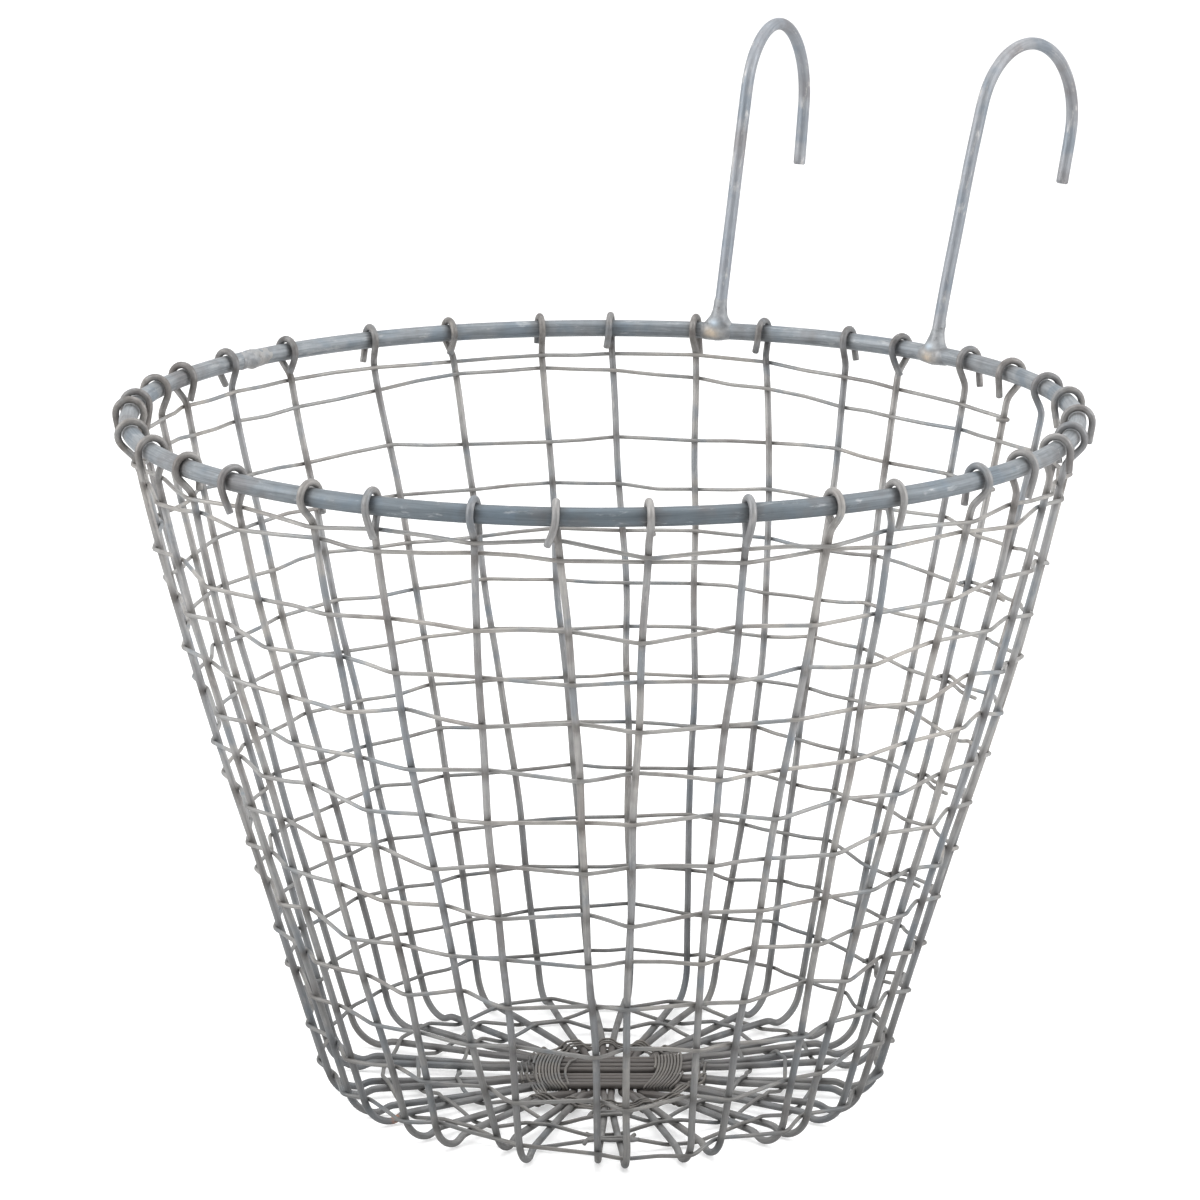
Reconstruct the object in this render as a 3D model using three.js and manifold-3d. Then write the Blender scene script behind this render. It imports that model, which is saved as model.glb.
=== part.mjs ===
// A hanging basket woven from zinc-coated wire. Wire stakes cross in two bundles under the middle of the base,
// fan out, turn up into the side and hook over a rod ring. Thinner wire is woven round them, fine wire lashes
// the crossing, and two bent rods are welded to the back of the ring to hang it by.
// Millimetres, +Z up. The origin is on the floor under the crossing, and the hooks stand towards +Y.
import * as THREE from "three";
import { mergeVertices } from "three/addons/utils/BufferGeometryUtils.js";
import Module from "manifold-3d";

const wasm = await Module();
wasm.setup();

// Stock, as diameters
const ringRod = 5.5;
const hookRod = 4;
const stakeWire = 2.2;
const weaverWire = 1.1;
const lashWire = 0.7;

// Gaps between pieces that touch on the real basket
const clearance = 0.3;
const pairClearance = 0.48;
const weaveClearance = 0.15;
const loopSlack = 0.5;

// Overall shape
const ringDiameter = 310;
const ringHeight = 229;
const floorDiameter = 183;
const heelRadius = 12;
const sideBow = 2.8;
const weaveTurnAngle = 32;

// The crossing under the base
const lowerPairs = 5;
const upperPairs = 4;
const lowerPairGap = 0.2;
const upperPairGap = 2.5;
const pairSpreadAngle = 3;
const cutWirePair = 0;
const lowerRise = 11;
const upperFall = 4;
const heelDrop = 4;
const heelLift = 0.12;
const raisedShare = 1.1;

// Where the stakes pass over the ring
const neckBelowLoop = 3.2;
const tailLength = 7.4;
const tailLean = 0.6;
const tailSplay = 2;
const firstInsideStake = 7;

// The stakes were set and bent by eye. Each stands some degrees from its even place on the ring and from its
// pair's place on the heel, and bows sideways by some millimetres between them.
const stakeDrift = [
  0, 0, 1, 1, -1, 2, 1, 1, -2, -2, -1, -2,
  -2, -3, -1, -3, -1, -2, -1, -2, 0, 1, 4, 5,
  5, 3, 2, -3, 0, 0, 0, -1, 1, -1, 1,
];
const heelDrift = [
  2, 1.5, 0, 1, 1.5, 2, 0, 1.5, -0.5, -1, 0, 2.5,
  -5.5, -3, -4, -1, -2, -1.5, -3, 0, -3, 5, 2, -4,
  4, 1.5, 1, 1, 1, 0, 1, 0, 2, 0, 1,
];
const stakeBow = [
  1.5, -1.5, -2, -2, -1, -3, 0, 0, 0, 0, 0, 1,
  0, 1.5, 0, 1, -8, 0, -2, 0, -1.5, -2.5, 0, 0,
  3, -1.5, 0, 0, 0, 0, -1, 0, 1, -1.5, -1.5,
];

// The weave
const rimRows = 2;
const rimRowGap = 5;
const sideRows = 12;
const sideRowsPerLength = 2;
const rimToSideRows = 23;
const lowestRow = 12;
const rampStakes = 6;
const rampEndStake = 12;
const lapDrop = 2;
const weaverStub = 4;
const handWobble = 0.8;
const wobbleStep = 2.3;
const baseRows = ["inner", "middle", "outer"];
const baseRowGrowth = 2.2;
const firstRowBeyondLash = 20;
const lastRowInsideHeel = 7;

// The lashing of the crossing
const lashTurns = 9;
const lashPitch = 1.25;
const lashEndSteps = 4;
const twineRowGap = 2;
const armTwineRows = 3;
const lashTwineRows = 2;
const twineEnd = 2.4;
const twineLift = 1.1;
const twineTurns = [Math.PI / 4, 0, -Math.PI / 4];

// The hooks
const hookSpreadAngle = 33.2;
const hookToeAngle = 8;
const hookLeanAngle = 17.4;
const hookShank = 83.5;
const hookBend = 28.9;
const hookTurnAngle = 175;
const hookTail = 19;

// The welds
const seamAngle = 140.5;
const seamLength = 15;
const seamWall = 0.45;
const beadLength = 11;
const beadWidth = 8.6;
const beadRise = 4.6;
const beadSkirt = 1.4;
const collarHeight = 7;
const collarWall = 0.6;

// Facets
const ringSegments = 72;
const rodSides = 8;
const stakeSides = 5;
const fineSides = 4;
const loopSteps = 6;
const heelSteps = 4;
const sideSteps = 4;
const hookStepAngle = 16.5;
const beadSegments = [14, 8];

const degree = Math.PI / 180;
// Which way each side of the basket lies
const front = -90;
const right = 0;
const back = 90;
const left = 180;
// An angle from 0 to 360, and one from -180 to 180
const fullAngle = (angle) => (angle + 720) % 360;
const nearAngle = (angle) => fullAngle(angle + 180) - 180;

// The section of a wire is a regular polygon with the area of the round wire.
const reachOf = (diameter, sides) => {
  const corner = (2 * Math.PI) / sides;
  return (diameter / 2) * Math.sqrt(corner / Math.sin(corner));
};
const flatOf = (diameter, sides) => reachOf(diameter, sides) * Math.cos(Math.PI / sides);

const ringReach = reachOf(ringRod, rodSides);
const hookReach = reachOf(hookRod, rodSides);
const stakeReach = reachOf(stakeWire, stakeSides);
const stakeFlat = flatOf(stakeWire, stakeSides);
const weaverReach = reachOf(weaverWire, fineSides);
const weaverFlat = flatOf(weaverWire, fineSides);
const lashReach = reachOf(lashWire, fineSides);

// Heights of the wires' middles in the base
const weaverSeat = stakeReach + weaverReach + weaveClearance;
const lashSeat = stakeReach + lashReach + clearance;
const floorLevel = stakeFlat;
const heelLevel = floorLevel + heelLift;
const upperLevel = floorLevel + stakeReach + clearance + stakeFlat;
const raisedLevel = weaverFlat + clearance + raisedShare * weaverSeat;

// The side's slope, and the heel where the base turns up into it
const ringRadius = ringDiameter / 2;
const floorRadius = floorDiameter / 2;
const sideSlope = Math.atan2(ringRadius - floorRadius, ringHeight - floorLevel);
const heelMiddle = floorRadius - (heelRadius * (1 - Math.sin(sideSlope))) / Math.cos(sideSlope);
const heelTop = heelLevel + heelRadius * (1 - Math.sin(sideSlope));

// The loops over the ring
const loopRadius = (ringReach + stakeReach + loopSlack) / Math.cos(Math.PI / loopSteps / 2);
const neckDrop = loopRadius + neckBelowLoop;
const neckHeight = ringHeight - neckDrop;

// The crossing
const wirePitch = 2 * stakeReach + pairClearance;
const lowerPitch = 2 * wirePitch + lowerPairGap;
const upperPitch = 2 * wirePitch + upperPairGap;
const groupAngle = 180 / (lowerPairs + upperPairs);
const halfWidth = (pairs, pitch) => ((pairs - 1) * pitch + wirePitch) / 2 + stakeReach;
const upperExit = halfWidth(lowerPairs, lowerPitch) + clearance;
const lowerExit = halfWidth(upperPairs, upperPitch) + clearance;
const lashStart = upperExit + stakeReach + lashReach;
const lashEnd = lashStart + lashTurns * lashPitch;
const upperTwineStart = lashEnd + lashSeat;
const lowerTwineStart = lowerExit + lowerRise + lashSeat;
const levelEnd = upperTwineStart + (lashTwineRows - 1) * twineRowGap + lashSeat;

const at = (x, y, z) => new THREE.Vector3(x, y, z);
const polar = (radius, angle, z) => at(radius * Math.cos(angle * degree), radius * Math.sin(angle * degree), z);

// Slides the corners of a section along a run until they lie in a plane.
function slide(section, run, point, normal) {
  return section.map((corner) => {
    const reach = point.clone().sub(corner).dot(normal) / run.dot(normal);
    return corner.clone().addScaledVector(run, reach);
  });
}

// A bar that follows a line of points, mitred where it turns. A flat of its section faces away from the way
// called up on the run whose number is given.
function bar(points, reach, sides, up, squareRun = 0) {
  const runs = points.slice(1).map((point, i) => point.clone().sub(points[i]).normalize());
  const mitre = (i) => runs[Math.max(i - 1, 0)].clone().add(runs[Math.min(i, runs.length - 1)]);
  const across = up.clone().cross(runs[squareRun]).normalize();
  const over = runs[squareRun].clone().cross(across);
  const square = Array.from({ length: sides }, (_, k) => {
    const turn = (2 * Math.PI * (k + 0.5)) / sides - Math.PI / 2;
    const corner = points[squareRun].clone().addScaledVector(across, reach * Math.cos(turn));
    return corner.addScaledVector(over, reach * Math.sin(turn));
  });
  const sections = [];
  let section = square;
  for (let i = squareRun; i >= 0; i -= 1) {
    section = slide(section, runs[i], points[i], mitre(i));
    sections[i] = section;
  }
  section = square;
  for (let i = squareRun + 1; i < points.length; i += 1) {
    section = slide(section, runs[i - 1], points[i], mitre(i));
    sections[i] = section;
  }
  const index = [];
  const corner = (i, k) => i * sides + (k % sides);
  for (let i = 0; i < points.length - 1; i += 1) {
    for (let k = 0; k < sides; k += 1) {
      index.push(corner(i, k), corner(i, k + 1), corner(i + 1, k + 1));
      index.push(corner(i, k), corner(i + 1, k + 1), corner(i + 1, k));
    }
  }
  const last = points.length - 1;
  for (let k = 1; k < sides - 1; k += 1) {
    index.push(corner(0, 0), corner(0, k + 1), corner(0, k));
    index.push(corner(last, 0), corner(last, k), corner(last, k + 1));
  }
  return new THREE.BufferGeometry().setFromPoints(sections.flat()).setIndex(index);
}

// Joining and cutting
function solidOf(geometry) {
  const bare = geometry.clone();
  bare.deleteAttribute("normal");
  bare.deleteAttribute("uv");
  const merged = mergeVertices(bare, 1e-3);
  return new wasm.Manifold(
    new wasm.Mesh({
      numProp: 3,
      vertProperties: merged.attributes.position.array,
      triVerts: new Uint32Array(merged.index.array),
    }),
  );
}

function geometryOf(solid) {
  const mesh = solid.getMesh();
  return new THREE.BufferGeometry()
    .setAttribute("position", new THREE.BufferAttribute(mesh.vertProperties, 3))
    .setIndex(new THREE.BufferAttribute(mesh.triVerts, 1));
}

const finish = (color, roughness, metalness) => new THREE.MeshStandardMaterial({ color, roughness, metalness });
const finishes = {
  ring: finish(0x7b848a, 0.5, 0.75),
  hook: finish(0xa4a5aa, 0.5, 0.7),
  stake: finish(0x8c8c8b, 0.55, 0.7),
  weaver: finish(0x8f8c88, 0.55, 0.7),
  lashing: finish(0x75706b, 0.6, 0.65),
  weld: finish(0xa59c8c, 0.7, 0.5),
};

function piece(name, geometry, material) {
  const mesh = new THREE.Mesh(geometry, material);
  mesh.geometry.computeVertexNormals();
  mesh.name = name;
  return mesh;
}

const twoFigures = (number) => String(number).padStart(2, "0");

// One stake wire lies in a bundle with an arm at each end; an arm leaves the crossing at its exit and heads for
// its own place on the heel. One wire of the lower bundle is cut short, so one arm stands alone in its group.
function crossingWires() {
  const wires = [];
  const bundles = [
    { pairs: lowerPairs, pitch: lowerPitch, axis: front, exit: lowerExit, level: floorLevel, upper: false },
    { pairs: upperPairs, pitch: upperPitch, axis: right, exit: upperExit, level: upperLevel, upper: true },
  ];
  for (const bundle of bundles) {
    const along = polar(1, bundle.axis, 0);
    const aside = polar(1, bundle.axis + 90, 0);
    for (let pair = 0; pair < bundle.pairs; pair += 1) {
      for (const side of [-1, 1]) {
        const place = pair - (bundle.pairs - 1) / 2;
        const offset = place * bundle.pitch + (side * wirePitch) / 2;
        const exit = (end) => along.clone().multiplyScalar(end * bundle.exit).addScaledVector(aside, offset);
        const cut = !bundle.upper && pair === cutWirePair && side === 1;
        const alone = !bundle.upper && pair === cutWirePair && side === -1;
        const fan = place * groupAngle;
        const ahead = fan + side * pairSpreadAngle;
        const behind = fan + (alone ? 0 : side * pairSpreadAngle);
        const arms = [
          { end: 1, heading: bundle.axis + ahead, middle: bundle.axis + fan, exit: exit(1) },
          { end: -1, heading: bundle.axis + 180 - behind, middle: bundle.axis + 180 - fan, exit: exit(-1) },
        ];
        for (const arm of arms) {
          arm.exit.z = bundle.level;
          arm.along = along.clone().multiplyScalar(arm.end);
          arm.upper = bundle.upper;
        }
        wires.push({ ahead: arms[0], behind: cut ? null : arms[1], cutEnd: arms[1].exit });
      }
    }
  }
  return wires;
}

// The arms in their order round the basket, each with its group and its place on the ring
function orderArms(wires) {
  const start = front - groupAngle / 2;
  const arms = wires.flatMap((wire) => [wire.ahead, wire.behind]).filter((arm) => arm !== null);
  arms.sort((one, other) => fullAngle(one.heading - start) - fullAngle(other.heading - start));
  arms.forEach((arm, n) => {
    const even = front + ((n - 0.5) * 360) / arms.length;
    arm.number = n;
    arm.heading += heelDrift[n % heelDrift.length];
    arm.bow = stakeBow[n % stakeBow.length];
    arm.group = Math.round(fullAngle(arm.middle - front) / groupAngle);
    arm.ringAngle = even + stakeDrift[n % stakeDrift.length];
    arm.turn = nearAngle(arm.ringAngle - arm.heading);
    arm.heel = polar(heelMiddle, arm.heading, heelLevel);
    arm.outside = ((n - firstInsideStake + arms.length) % arms.length) % 2 === 1;
  });
  return arms;
}

const wires = crossingWires();
const arms = orderArms(wires);
const armNumber = (n) => arms[((n % arms.length) + arms.length) % arms.length];

// The side's outline: a straight slope with a slight swell, which is fullest two thirds of the way up
function sideRadius(z) {
  const rise = (z - floorLevel) / (ringHeight - floorLevel);
  const straight = floorRadius + (ringRadius - floorRadius) * rise;
  const swell = (share) => share * share * (1 - share);
  return straight + (sideBow * swell(rise)) / swell(2 / 3);
}

// A stake leans from its place on the heel to its place on the ring with its own bow, bent at a few heights.
function sideLine(arm) {
  return Array.from({ length: sideSteps + 1 }, (_, step) => {
    const z = heelTop + ((neckHeight - heelTop) * step) / sideSteps;
    const rise = (z - heelTop) / (ringHeight - heelTop);
    const across = arm.turn * degree * rise * ringRadius + arm.bow * Math.sin(Math.PI * rise);
    return polar(sideRadius(z), arm.heading + across / sideRadius(z) / degree, z);
  });
}

for (const arm of arms) {
  arm.side = sideLine(arm);
}

function onSide(arm, z) {
  const step = ((z - heelTop) / (neckHeight - heelTop)) * sideSteps;
  const below = Math.min(Math.max(Math.floor(step), 0), sideSteps - 1);
  return arm.side[below].clone().lerp(arm.side[below + 1], step - below);
}

// Where an arm of the base has gone a distance along its bundle's own way
function upTo(arm, distance) {
  const start = arm.exit.dot(arm.along);
  const share = (distance - start) / (arm.heel.dot(arm.along) - start);
  return arm.exit.clone().lerp(arm.heel, Math.max(share, 0));
}

// Where an arm of the base passes a distance from the middle
function onBase(arm, radius) {
  const exit = at(arm.exit.x, arm.exit.y, 0);
  const run = at(arm.heel.x, arm.heel.y, 0).sub(exit);
  const a = run.lengthSq();
  const b = 2 * exit.dot(run);
  const c = exit.lengthSq() - radius * radius;
  const share = (-b + Math.sqrt(b * b - 4 * a * c)) / (2 * a);
  const point = exit.addScaledVector(run, share);
  point.z = raisedLevel;
  return point;
}

// From the crossing out along the base, round the heel, up the side and over the ring to the cut tail
function armLine(arm) {
  const line = [arm.exit];
  if (arm.upper) {
    line.push(upTo(arm, levelEnd).setZ(upperLevel));
    line.push(upTo(arm, levelEnd + upperFall).setZ(raisedLevel));
  } else {
    line.push(upTo(arm, lowerExit + lowerRise).setZ(raisedLevel));
  }
  line.push(onBase(arm, heelMiddle - heelDrop));
  const heelArc = Math.PI / 2 - sideSlope;
  for (let step = 0; step <= heelSteps; step += 1) {
    const turn = (heelArc * step) / heelSteps;
    const radius = heelMiddle + heelRadius * Math.sin(turn);
    line.push(polar(radius, arm.heading, heelLevel + heelRadius * (1 - Math.cos(turn))));
  }
  return line.concat(arm.side.slice(1), loopLine(arm));
}

function loopLine(arm) {
  const line = [];
  const side = arm.outside ? 1 : -1;
  const around = polar(1, arm.ringAngle + 90, 0);
  const touch = Math.acos(loopRadius / neckDrop) - Math.PI / 2;
  for (let step = 0; step <= loopSteps; step += 1) {
    const turn = touch + ((Math.PI - touch) * step) / loopSteps;
    const radius = ringRadius + side * loopRadius * Math.cos(turn);
    line.push(polar(radius, arm.ringAngle, ringHeight + loopRadius * Math.sin(turn)));
  }
  const end = polar(ringRadius - side * (loopRadius - tailLean), arm.ringAngle, ringHeight - tailLength);
  line.push(end.addScaledVector(around, side * tailSplay));
  return line;
}

function stakes() {
  return wires.map((wire, i) => {
    const behind = wire.behind ? armLine(wire.behind).reverse() : [wire.cutEnd];
    const line = behind.concat(armLine(wire.ahead));
    const geometry = bar(line, stakeReach, stakeSides, at(0, 0, 1), behind.length - 1);
    return piece("stake_wire_" + twoFigures(i + 1), geometry, finishes.stake);
  });
}

// The weavers pass inside and outside the stakes by turns. Each row is level for most of the way round and
// drops to the next over a few stakes at one side, so a weaver is one long winding wire.
function rowHeight(rows, knot) {
  const turn = Math.min(Math.max(Math.floor(knot / arms.length), 0), rows.length - 1);
  const next = Math.min(turn + 1, rows.length - 1);
  const into = knot - turn * arms.length - (arms.length - rampStakes);
  const share = THREE.MathUtils.smoothstep(into, 0, rampStakes);
  return rows[turn] + (rows[next] - rows[turn]) * share;
}

function sideKnot(rows, knot, outsideFirst, drop) {
  const arm = armNumber(rampEndStake + knot);
  const z = rowHeight(rows, knot) + handWobble * Math.sin(wobbleStep * knot) - drop;
  const point = onSide(arm, z);
  const before = onSide(armNumber(arm.number - 1), z).distanceTo(point);
  const after = onSide(armNumber(arm.number + 1), z).distanceTo(point);
  const slant = Math.atan2(2 * weaverSeat, Math.min(before, after));
  const outward = at(point.x, point.y, 0).setLength(Math.cos(sideSlope)).setZ(-Math.sin(sideSlope));
  const side = knot % 2 === 0 === outsideFirst ? 1 : -1;
  return point.addScaledVector(outward, (side * weaverSeat) / Math.cos(slant));
}

// A length of weaver from one knot to another, with a short end past each
function weaverLine(first, last, knotAt) {
  const line = [];
  for (let knot = first; knot <= last; knot += 1) {
    line.push(knotAt(knot));
  }
  const stub = (from, towards) => from.clone().add(towards.clone().sub(from).setLength(weaverStub));
  line.unshift(stub(line[0], knotAt(first - 1)));
  line.push(stub(line[line.length - 1], knotAt(last + 1)));
  return line;
}

function sideWeavers() {
  const up = at(0, 0, 1);
  const topRow = neckHeight - weaverReach - clearance - handWobble;
  const rimHeights = Array.from({ length: rimRows }, (_, row) => topRow - row * rimRowGap);
  const firstRow = rimHeights[rimRows - 1] - rimToSideRows;
  const rowGap = (firstRow - lowestRow) / (sideRows - 1);
  const sideHeights = Array.from({ length: sideRows }, (_, row) => firstRow - row * rowGap);
  const rimLine = weaverLine(0, rimRows * arms.length - 1, (knot) => sideKnot(rimHeights, knot, true, 0));
  const made = [piece("rim_weaver", bar(rimLine, weaverReach, fineSides, up), finishes.weaver)];
  for (let row = 0; row < sideRows; row += sideRowsPerLength) {
    const first = row * arms.length - (row > 0 ? 1 : 0);
    const last = (row + sideRowsPerLength) * arms.length - (row + sideRowsPerLength < sideRows ? 0 : 1);
    const lapOf = (knot) => (row > 0 ? lapDrop * Math.min(Math.max((first + 3 - knot) / 2, 0), 1) : 0);
    const line = weaverLine(first, last, (knot) => sideKnot(sideHeights, knot, true, lapOf(knot)));
    const name = "side_weaver_" + (row / sideRowsPerLength + 1);
    made.push(piece(name, bar(line, weaverReach, fineSides, up), finishes.weaver));
  }
  return made;
}

// In the base a weaver passes over and under whole pairs, once round and a little past its start.
function baseWeavers() {
  const inner = lashEnd + firstRowBeyondLash;
  const outer = heelMiddle - lastRowInsideHeel - baseRowGrowth;
  return baseRows.map((name, row) => {
    const start = inner + ((outer - inner) * row) / (baseRows.length - 1);
    const knotAt = (knot) => {
      const arm = armNumber(knot);
      const radius = start + (baseRowGrowth * knot) / arms.length;
      const point = onBase(arm, radius);
      const others = [armNumber(knot - 1), armNumber(knot + 1)].filter((other) => other.group !== arm.group);
      const between = Math.min(...others.map((other) => onBase(other, radius).distanceTo(point)));
      const slant = Math.atan2(2 * weaverSeat, between);
      const side = (arm.group + row) % 2 === 0 ? 1 : -1;
      point.z += (side * weaverSeat) / Math.cos(slant);
      return point;
    };
    const line = weaverLine(0, arms.length + 1, knotAt);
    return piece("base_weaver_" + name, bar(line, weaverReach, fineSides, at(0, 0, 1)), finishes.weaver);
  });
}

// The angle between an arm and its bundle
function slantOf(arm) {
  return arm.heel.clone().sub(arm.exit).setZ(0).angleTo(arm.along);
}

// The arms of one side of the crossing, from one edge to the other
function armsTowards(axis, pairs) {
  const aside = polar(1, axis + 90, 0);
  const near = (arm) => Math.abs(nearAngle(arm.middle - axis)) < (pairs * groupAngle) / 2;
  return arms.filter(near).sort((one, other) => one.exit.dot(aside) - other.exit.dot(aside));
}

function gapToItself(line, wire, turnLength) {
  const dense = [];
  for (let i = 1; i < line.length; i += 1) {
    const parts = Math.ceil(line[i].distanceTo(line[i - 1]));
    for (let part = 0; part < parts; part += 1) {
      dense.push(line[i - 1].clone().lerp(line[i], part / parts));
    }
  }
  let least = Infinity;
  for (let i = 0; i < dense.length; i += 1) {
    for (let j = i + turnLength; j < dense.length; j += 1) {
      least = Math.min(least, dense[i].distanceTo(dense[j]));
    }
  }
  return least - wire;
}

// A close winding round the upper bundle, just outside the lower one
function binding(name, axis) {
  const along = polar(1, axis, 0);
  const aside = polar(1, axis + 90, 0);
  const bundle = armsTowards(axis, upperPairs);
  const edges = [bundle[0], bundle[bundle.length - 1]];
  const line = [];
  const stepsPerTurn = 2 * (lashEndSteps + 1);
  const place = (step) => {
    const side = Math.floor(step / (lashEndSteps + 1)) % 2;
    const distance = lashStart + (lashPitch * step) / stepsPerTurn;
    const edge = upTo(edges[side], distance).dot(aside);
    const reach = lashSeat / Math.cos(slantOf(edges[side]));
    const turn = Math.PI / 2 + (Math.PI * (step % (lashEndSteps + 1))) / lashEndSteps + Math.PI * side;
    const point = along.clone().multiplyScalar(distance);
    point.addScaledVector(aside, edge + reach * Math.cos(turn));
    point.z = upperLevel + lashSeat * Math.sin(turn);
    return point;
  };
  for (let step = 0; step < lashTurns * stepsPerTurn; step += 1) {
    line.push(place(step));
  }
  const turnLength = Math.floor(2 * (edges[1].exit.dot(aside) - edges[0].exit.dot(aside)));
  console.log(name + " clears itself by " + gapToItself(line, lashWire, turnLength).toFixed(2) + " mm");
  return piece(name, bar(line, lashReach, fineSides, at(0, 0, 1)), finishes.lashing);
}

// Fine wire laced over and under the pairs of one side, in rows that turn back round the outer wires
function twining(name, axis, pairs, start, rows, level) {
  const along = polar(1, axis, 0);
  const aside = polar(1, axis + 90, 0);
  const bundle = armsTowards(axis, pairs);
  const line = [];
  for (let row = 0; row < rows; row += 1) {
    const distance = start + row * twineRowGap;
    const order = row % 2 === 0 ? bundle : [...bundle].reverse();
    const laid = order.map((arm) => {
      const point = along.clone().multiplyScalar(distance);
      point.addScaledVector(aside, upTo(arm, distance).dot(aside));
      const side = (arm.group + row) % 2 === 0 ? 1 : -1;
      point.z = level + side * lashSeat * twineLift;
      return point;
    });
    line.push(...laid);
    if (row < rows - 1) {
      const last = order[order.length - 1];
      const outward = row % 2 === 0 ? 1 : -1;
      const upward = (last.group + row) % 2 === 0 ? 1 : -1;
      const reach = lashSeat / Math.cos(Math.PI / 8);
      for (const turn of twineTurns) {
        const further = distance + twineRowGap * (0.5 - turn / Math.PI);
        const point = along.clone().multiplyScalar(further);
        const sideways = (outward * reach * Math.cos(turn)) / Math.cos(slantOf(last));
        point.addScaledVector(aside, upTo(last, further).dot(aside) + sideways);
        point.z = level + upward * reach * Math.sin(turn);
        line.push(point);
      }
    }
  }
  const end = (from, towards) => from.clone().add(from.clone().sub(towards).setLength(twineEnd).setZ(0));
  line.unshift(end(line[0], line[1]));
  line.push(end(line[line.length - 1], line[line.length - 2]));
  return piece(name, bar(line, lashReach, fineSides, at(0, 0, 1)), finishes.lashing);
}

function crossing() {
  return [
    binding("slath_binding_left", left),
    binding("slath_binding_right", right),
    twining("slath_twine_front", front, lowerPairs, lowerTwineStart, armTwineRows, raisedLevel),
    twining("slath_twine_back", back, lowerPairs, lowerTwineStart, armTwineRows, raisedLevel),
    twining("slath_twine_left", left, upperPairs, upperTwineStart, lashTwineRows, upperLevel),
    twining("slath_twine_right", right, upperPairs, upperTwineStart, lashTwineRows, upperLevel),
  ];
}

const ringGeometry = (reach) => new THREE.TorusGeometry(ringRadius, reach, rodSides, ringSegments);

function ring() {
  const geometry = ringGeometry(ringReach);
  geometry.translate(0, 0, ringHeight);
  return piece("rim_ring", geometry, finishes.ring);
}

// The ring is one rod closed by a butt weld, which stands a little proud of it all round.
function ringSeam() {
  const half = seamLength / 2 / ringRadius / degree;
  const line = [-1, -1 / 3, 1 / 3, 1].map((share) => polar(ringRadius, seamAngle + share * half, ringHeight));
  const sleeve = bar(line, ringReach + clearance + seamWall, rodSides, at(0, 0, 1));
  const bore = ringGeometry(ringReach + clearance);
  bore.translate(0, 0, ringHeight);
  return piece("rim_seam_weld", geometryOf(solidOf(sleeve).subtract(solidOf(bore))), finishes.weld);
}

// A hook follows the slope of the side up from the ring, bends over away from the basket and comes down again.
function hookLine(side) {
  const outward = polar(1, back + side * hookToeAngle, 0);
  const up = at(0, 0, 1);
  const base = polar(ringRadius, back + (side * hookSpreadAngle) / 2, ringHeight);
  const place = (across, height) => base.clone().addScaledVector(outward, across).addScaledVector(up, height);
  const lean = hookLeanAngle * degree;
  const foot = ringReach + clearance + hookReach * Math.sin(lean);
  const shankTop = [hookShank * Math.sin(lean), foot + hookShank * Math.cos(lean)];
  const start = 90 - hookLeanAngle;
  const middle = [
    shankTop[0] + hookBend * Math.sin(start * degree),
    shankTop[1] - hookBend * Math.cos(start * degree),
  ];
  const onBend = (heading) => {
    const turn = (heading + 90) * degree;
    return place(middle[0] + hookBend * Math.cos(turn), middle[1] + hookBend * Math.sin(turn));
  };
  const headings = [start];
  const end = start - hookTurnAngle;
  // The crown's run is level, so that it has a flat to hang from.
  const firstStep = Math.floor(start / hookStepAngle - 0.6) + 0.5;
  for (let heading = firstStep * hookStepAngle; heading > end + hookStepAngle / 3; heading -= hookStepAngle) {
    headings.push(heading);
  }
  headings.push(end);
  const line = [place(0, foot), ...headings.map(onBend)];
  const tip = line[line.length - 1].clone();
  tip.addScaledVector(outward, hookTail * Math.cos(end * degree));
  tip.addScaledVector(up, hookTail * Math.sin(end * degree));
  line.push(tip);
  return { line, outward, base };
}

function hook(name, side) {
  const { line, outward } = hookLine(side);
  return piece(name, bar(line, hookReach, rodSides, outward.negate()), finishes.hook);
}

// The weld at a hook's foot: a saddle over the ring and a collar a little way up the rod
function hookWeld(name, side) {
  const { line, outward, base } = hookLine(side);
  const shank = line[1].clone().sub(line[0]).normalize();
  const saddle = new THREE.SphereGeometry(1, ...beadSegments);
  saddle.scale(beadWidth / 2, beadLength / 2, ringRod / 2 + beadRise);
  saddle.rotateZ((90 + (side * hookSpreadAngle) / 2) * degree);
  saddle.translate(base.x, base.y, base.z);
  const collarReach = hookReach + clearance + collarWall;
  const collarTop = line[0].clone().addScaledVector(shank, collarHeight);
  const collar = bar([base, collarTop], collarReach, rodSides, outward.clone().negate());
  const rodHole = bar(
    [line[0].clone().addScaledVector(shank, -hookRod), collarTop.clone().addScaledVector(shank, hookRod)],
    hookReach + clearance,
    rodSides,
    outward.clone().negate(),
  );
  const bore = ringGeometry(ringReach + clearance);
  bore.translate(0, 0, ringHeight);
  const below = new THREE.BoxGeometry(4 * beadLength, 4 * beadLength, 2 * beadLength);
  below.translate(base.x, base.y, base.z - beadLength - beadSkirt);
  const bead = solidOf(saddle).add(solidOf(collar)).subtract(solidOf(bore)).subtract(solidOf(rodHole));
  return piece(name, geometryOf(bead.subtract(solidOf(below))), finishes.weld);
}

const basket = new THREE.Group();
basket.add(ring());
basket.add(hook("hook_left", 1), hook("hook_right", -1));
basket.add(hookWeld("hook_weld_left", 1), hookWeld("hook_weld_right", -1));

const woven = new THREE.Group();
woven.rotation.z = weaveTurnAngle * degree;
woven.add(ringSeam());
woven.add(...stakes());
woven.add(...sideWeavers());
woven.add(...baseWeavers());
woven.add(...crossing());
basket.add(woven);

export default basket;
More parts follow.
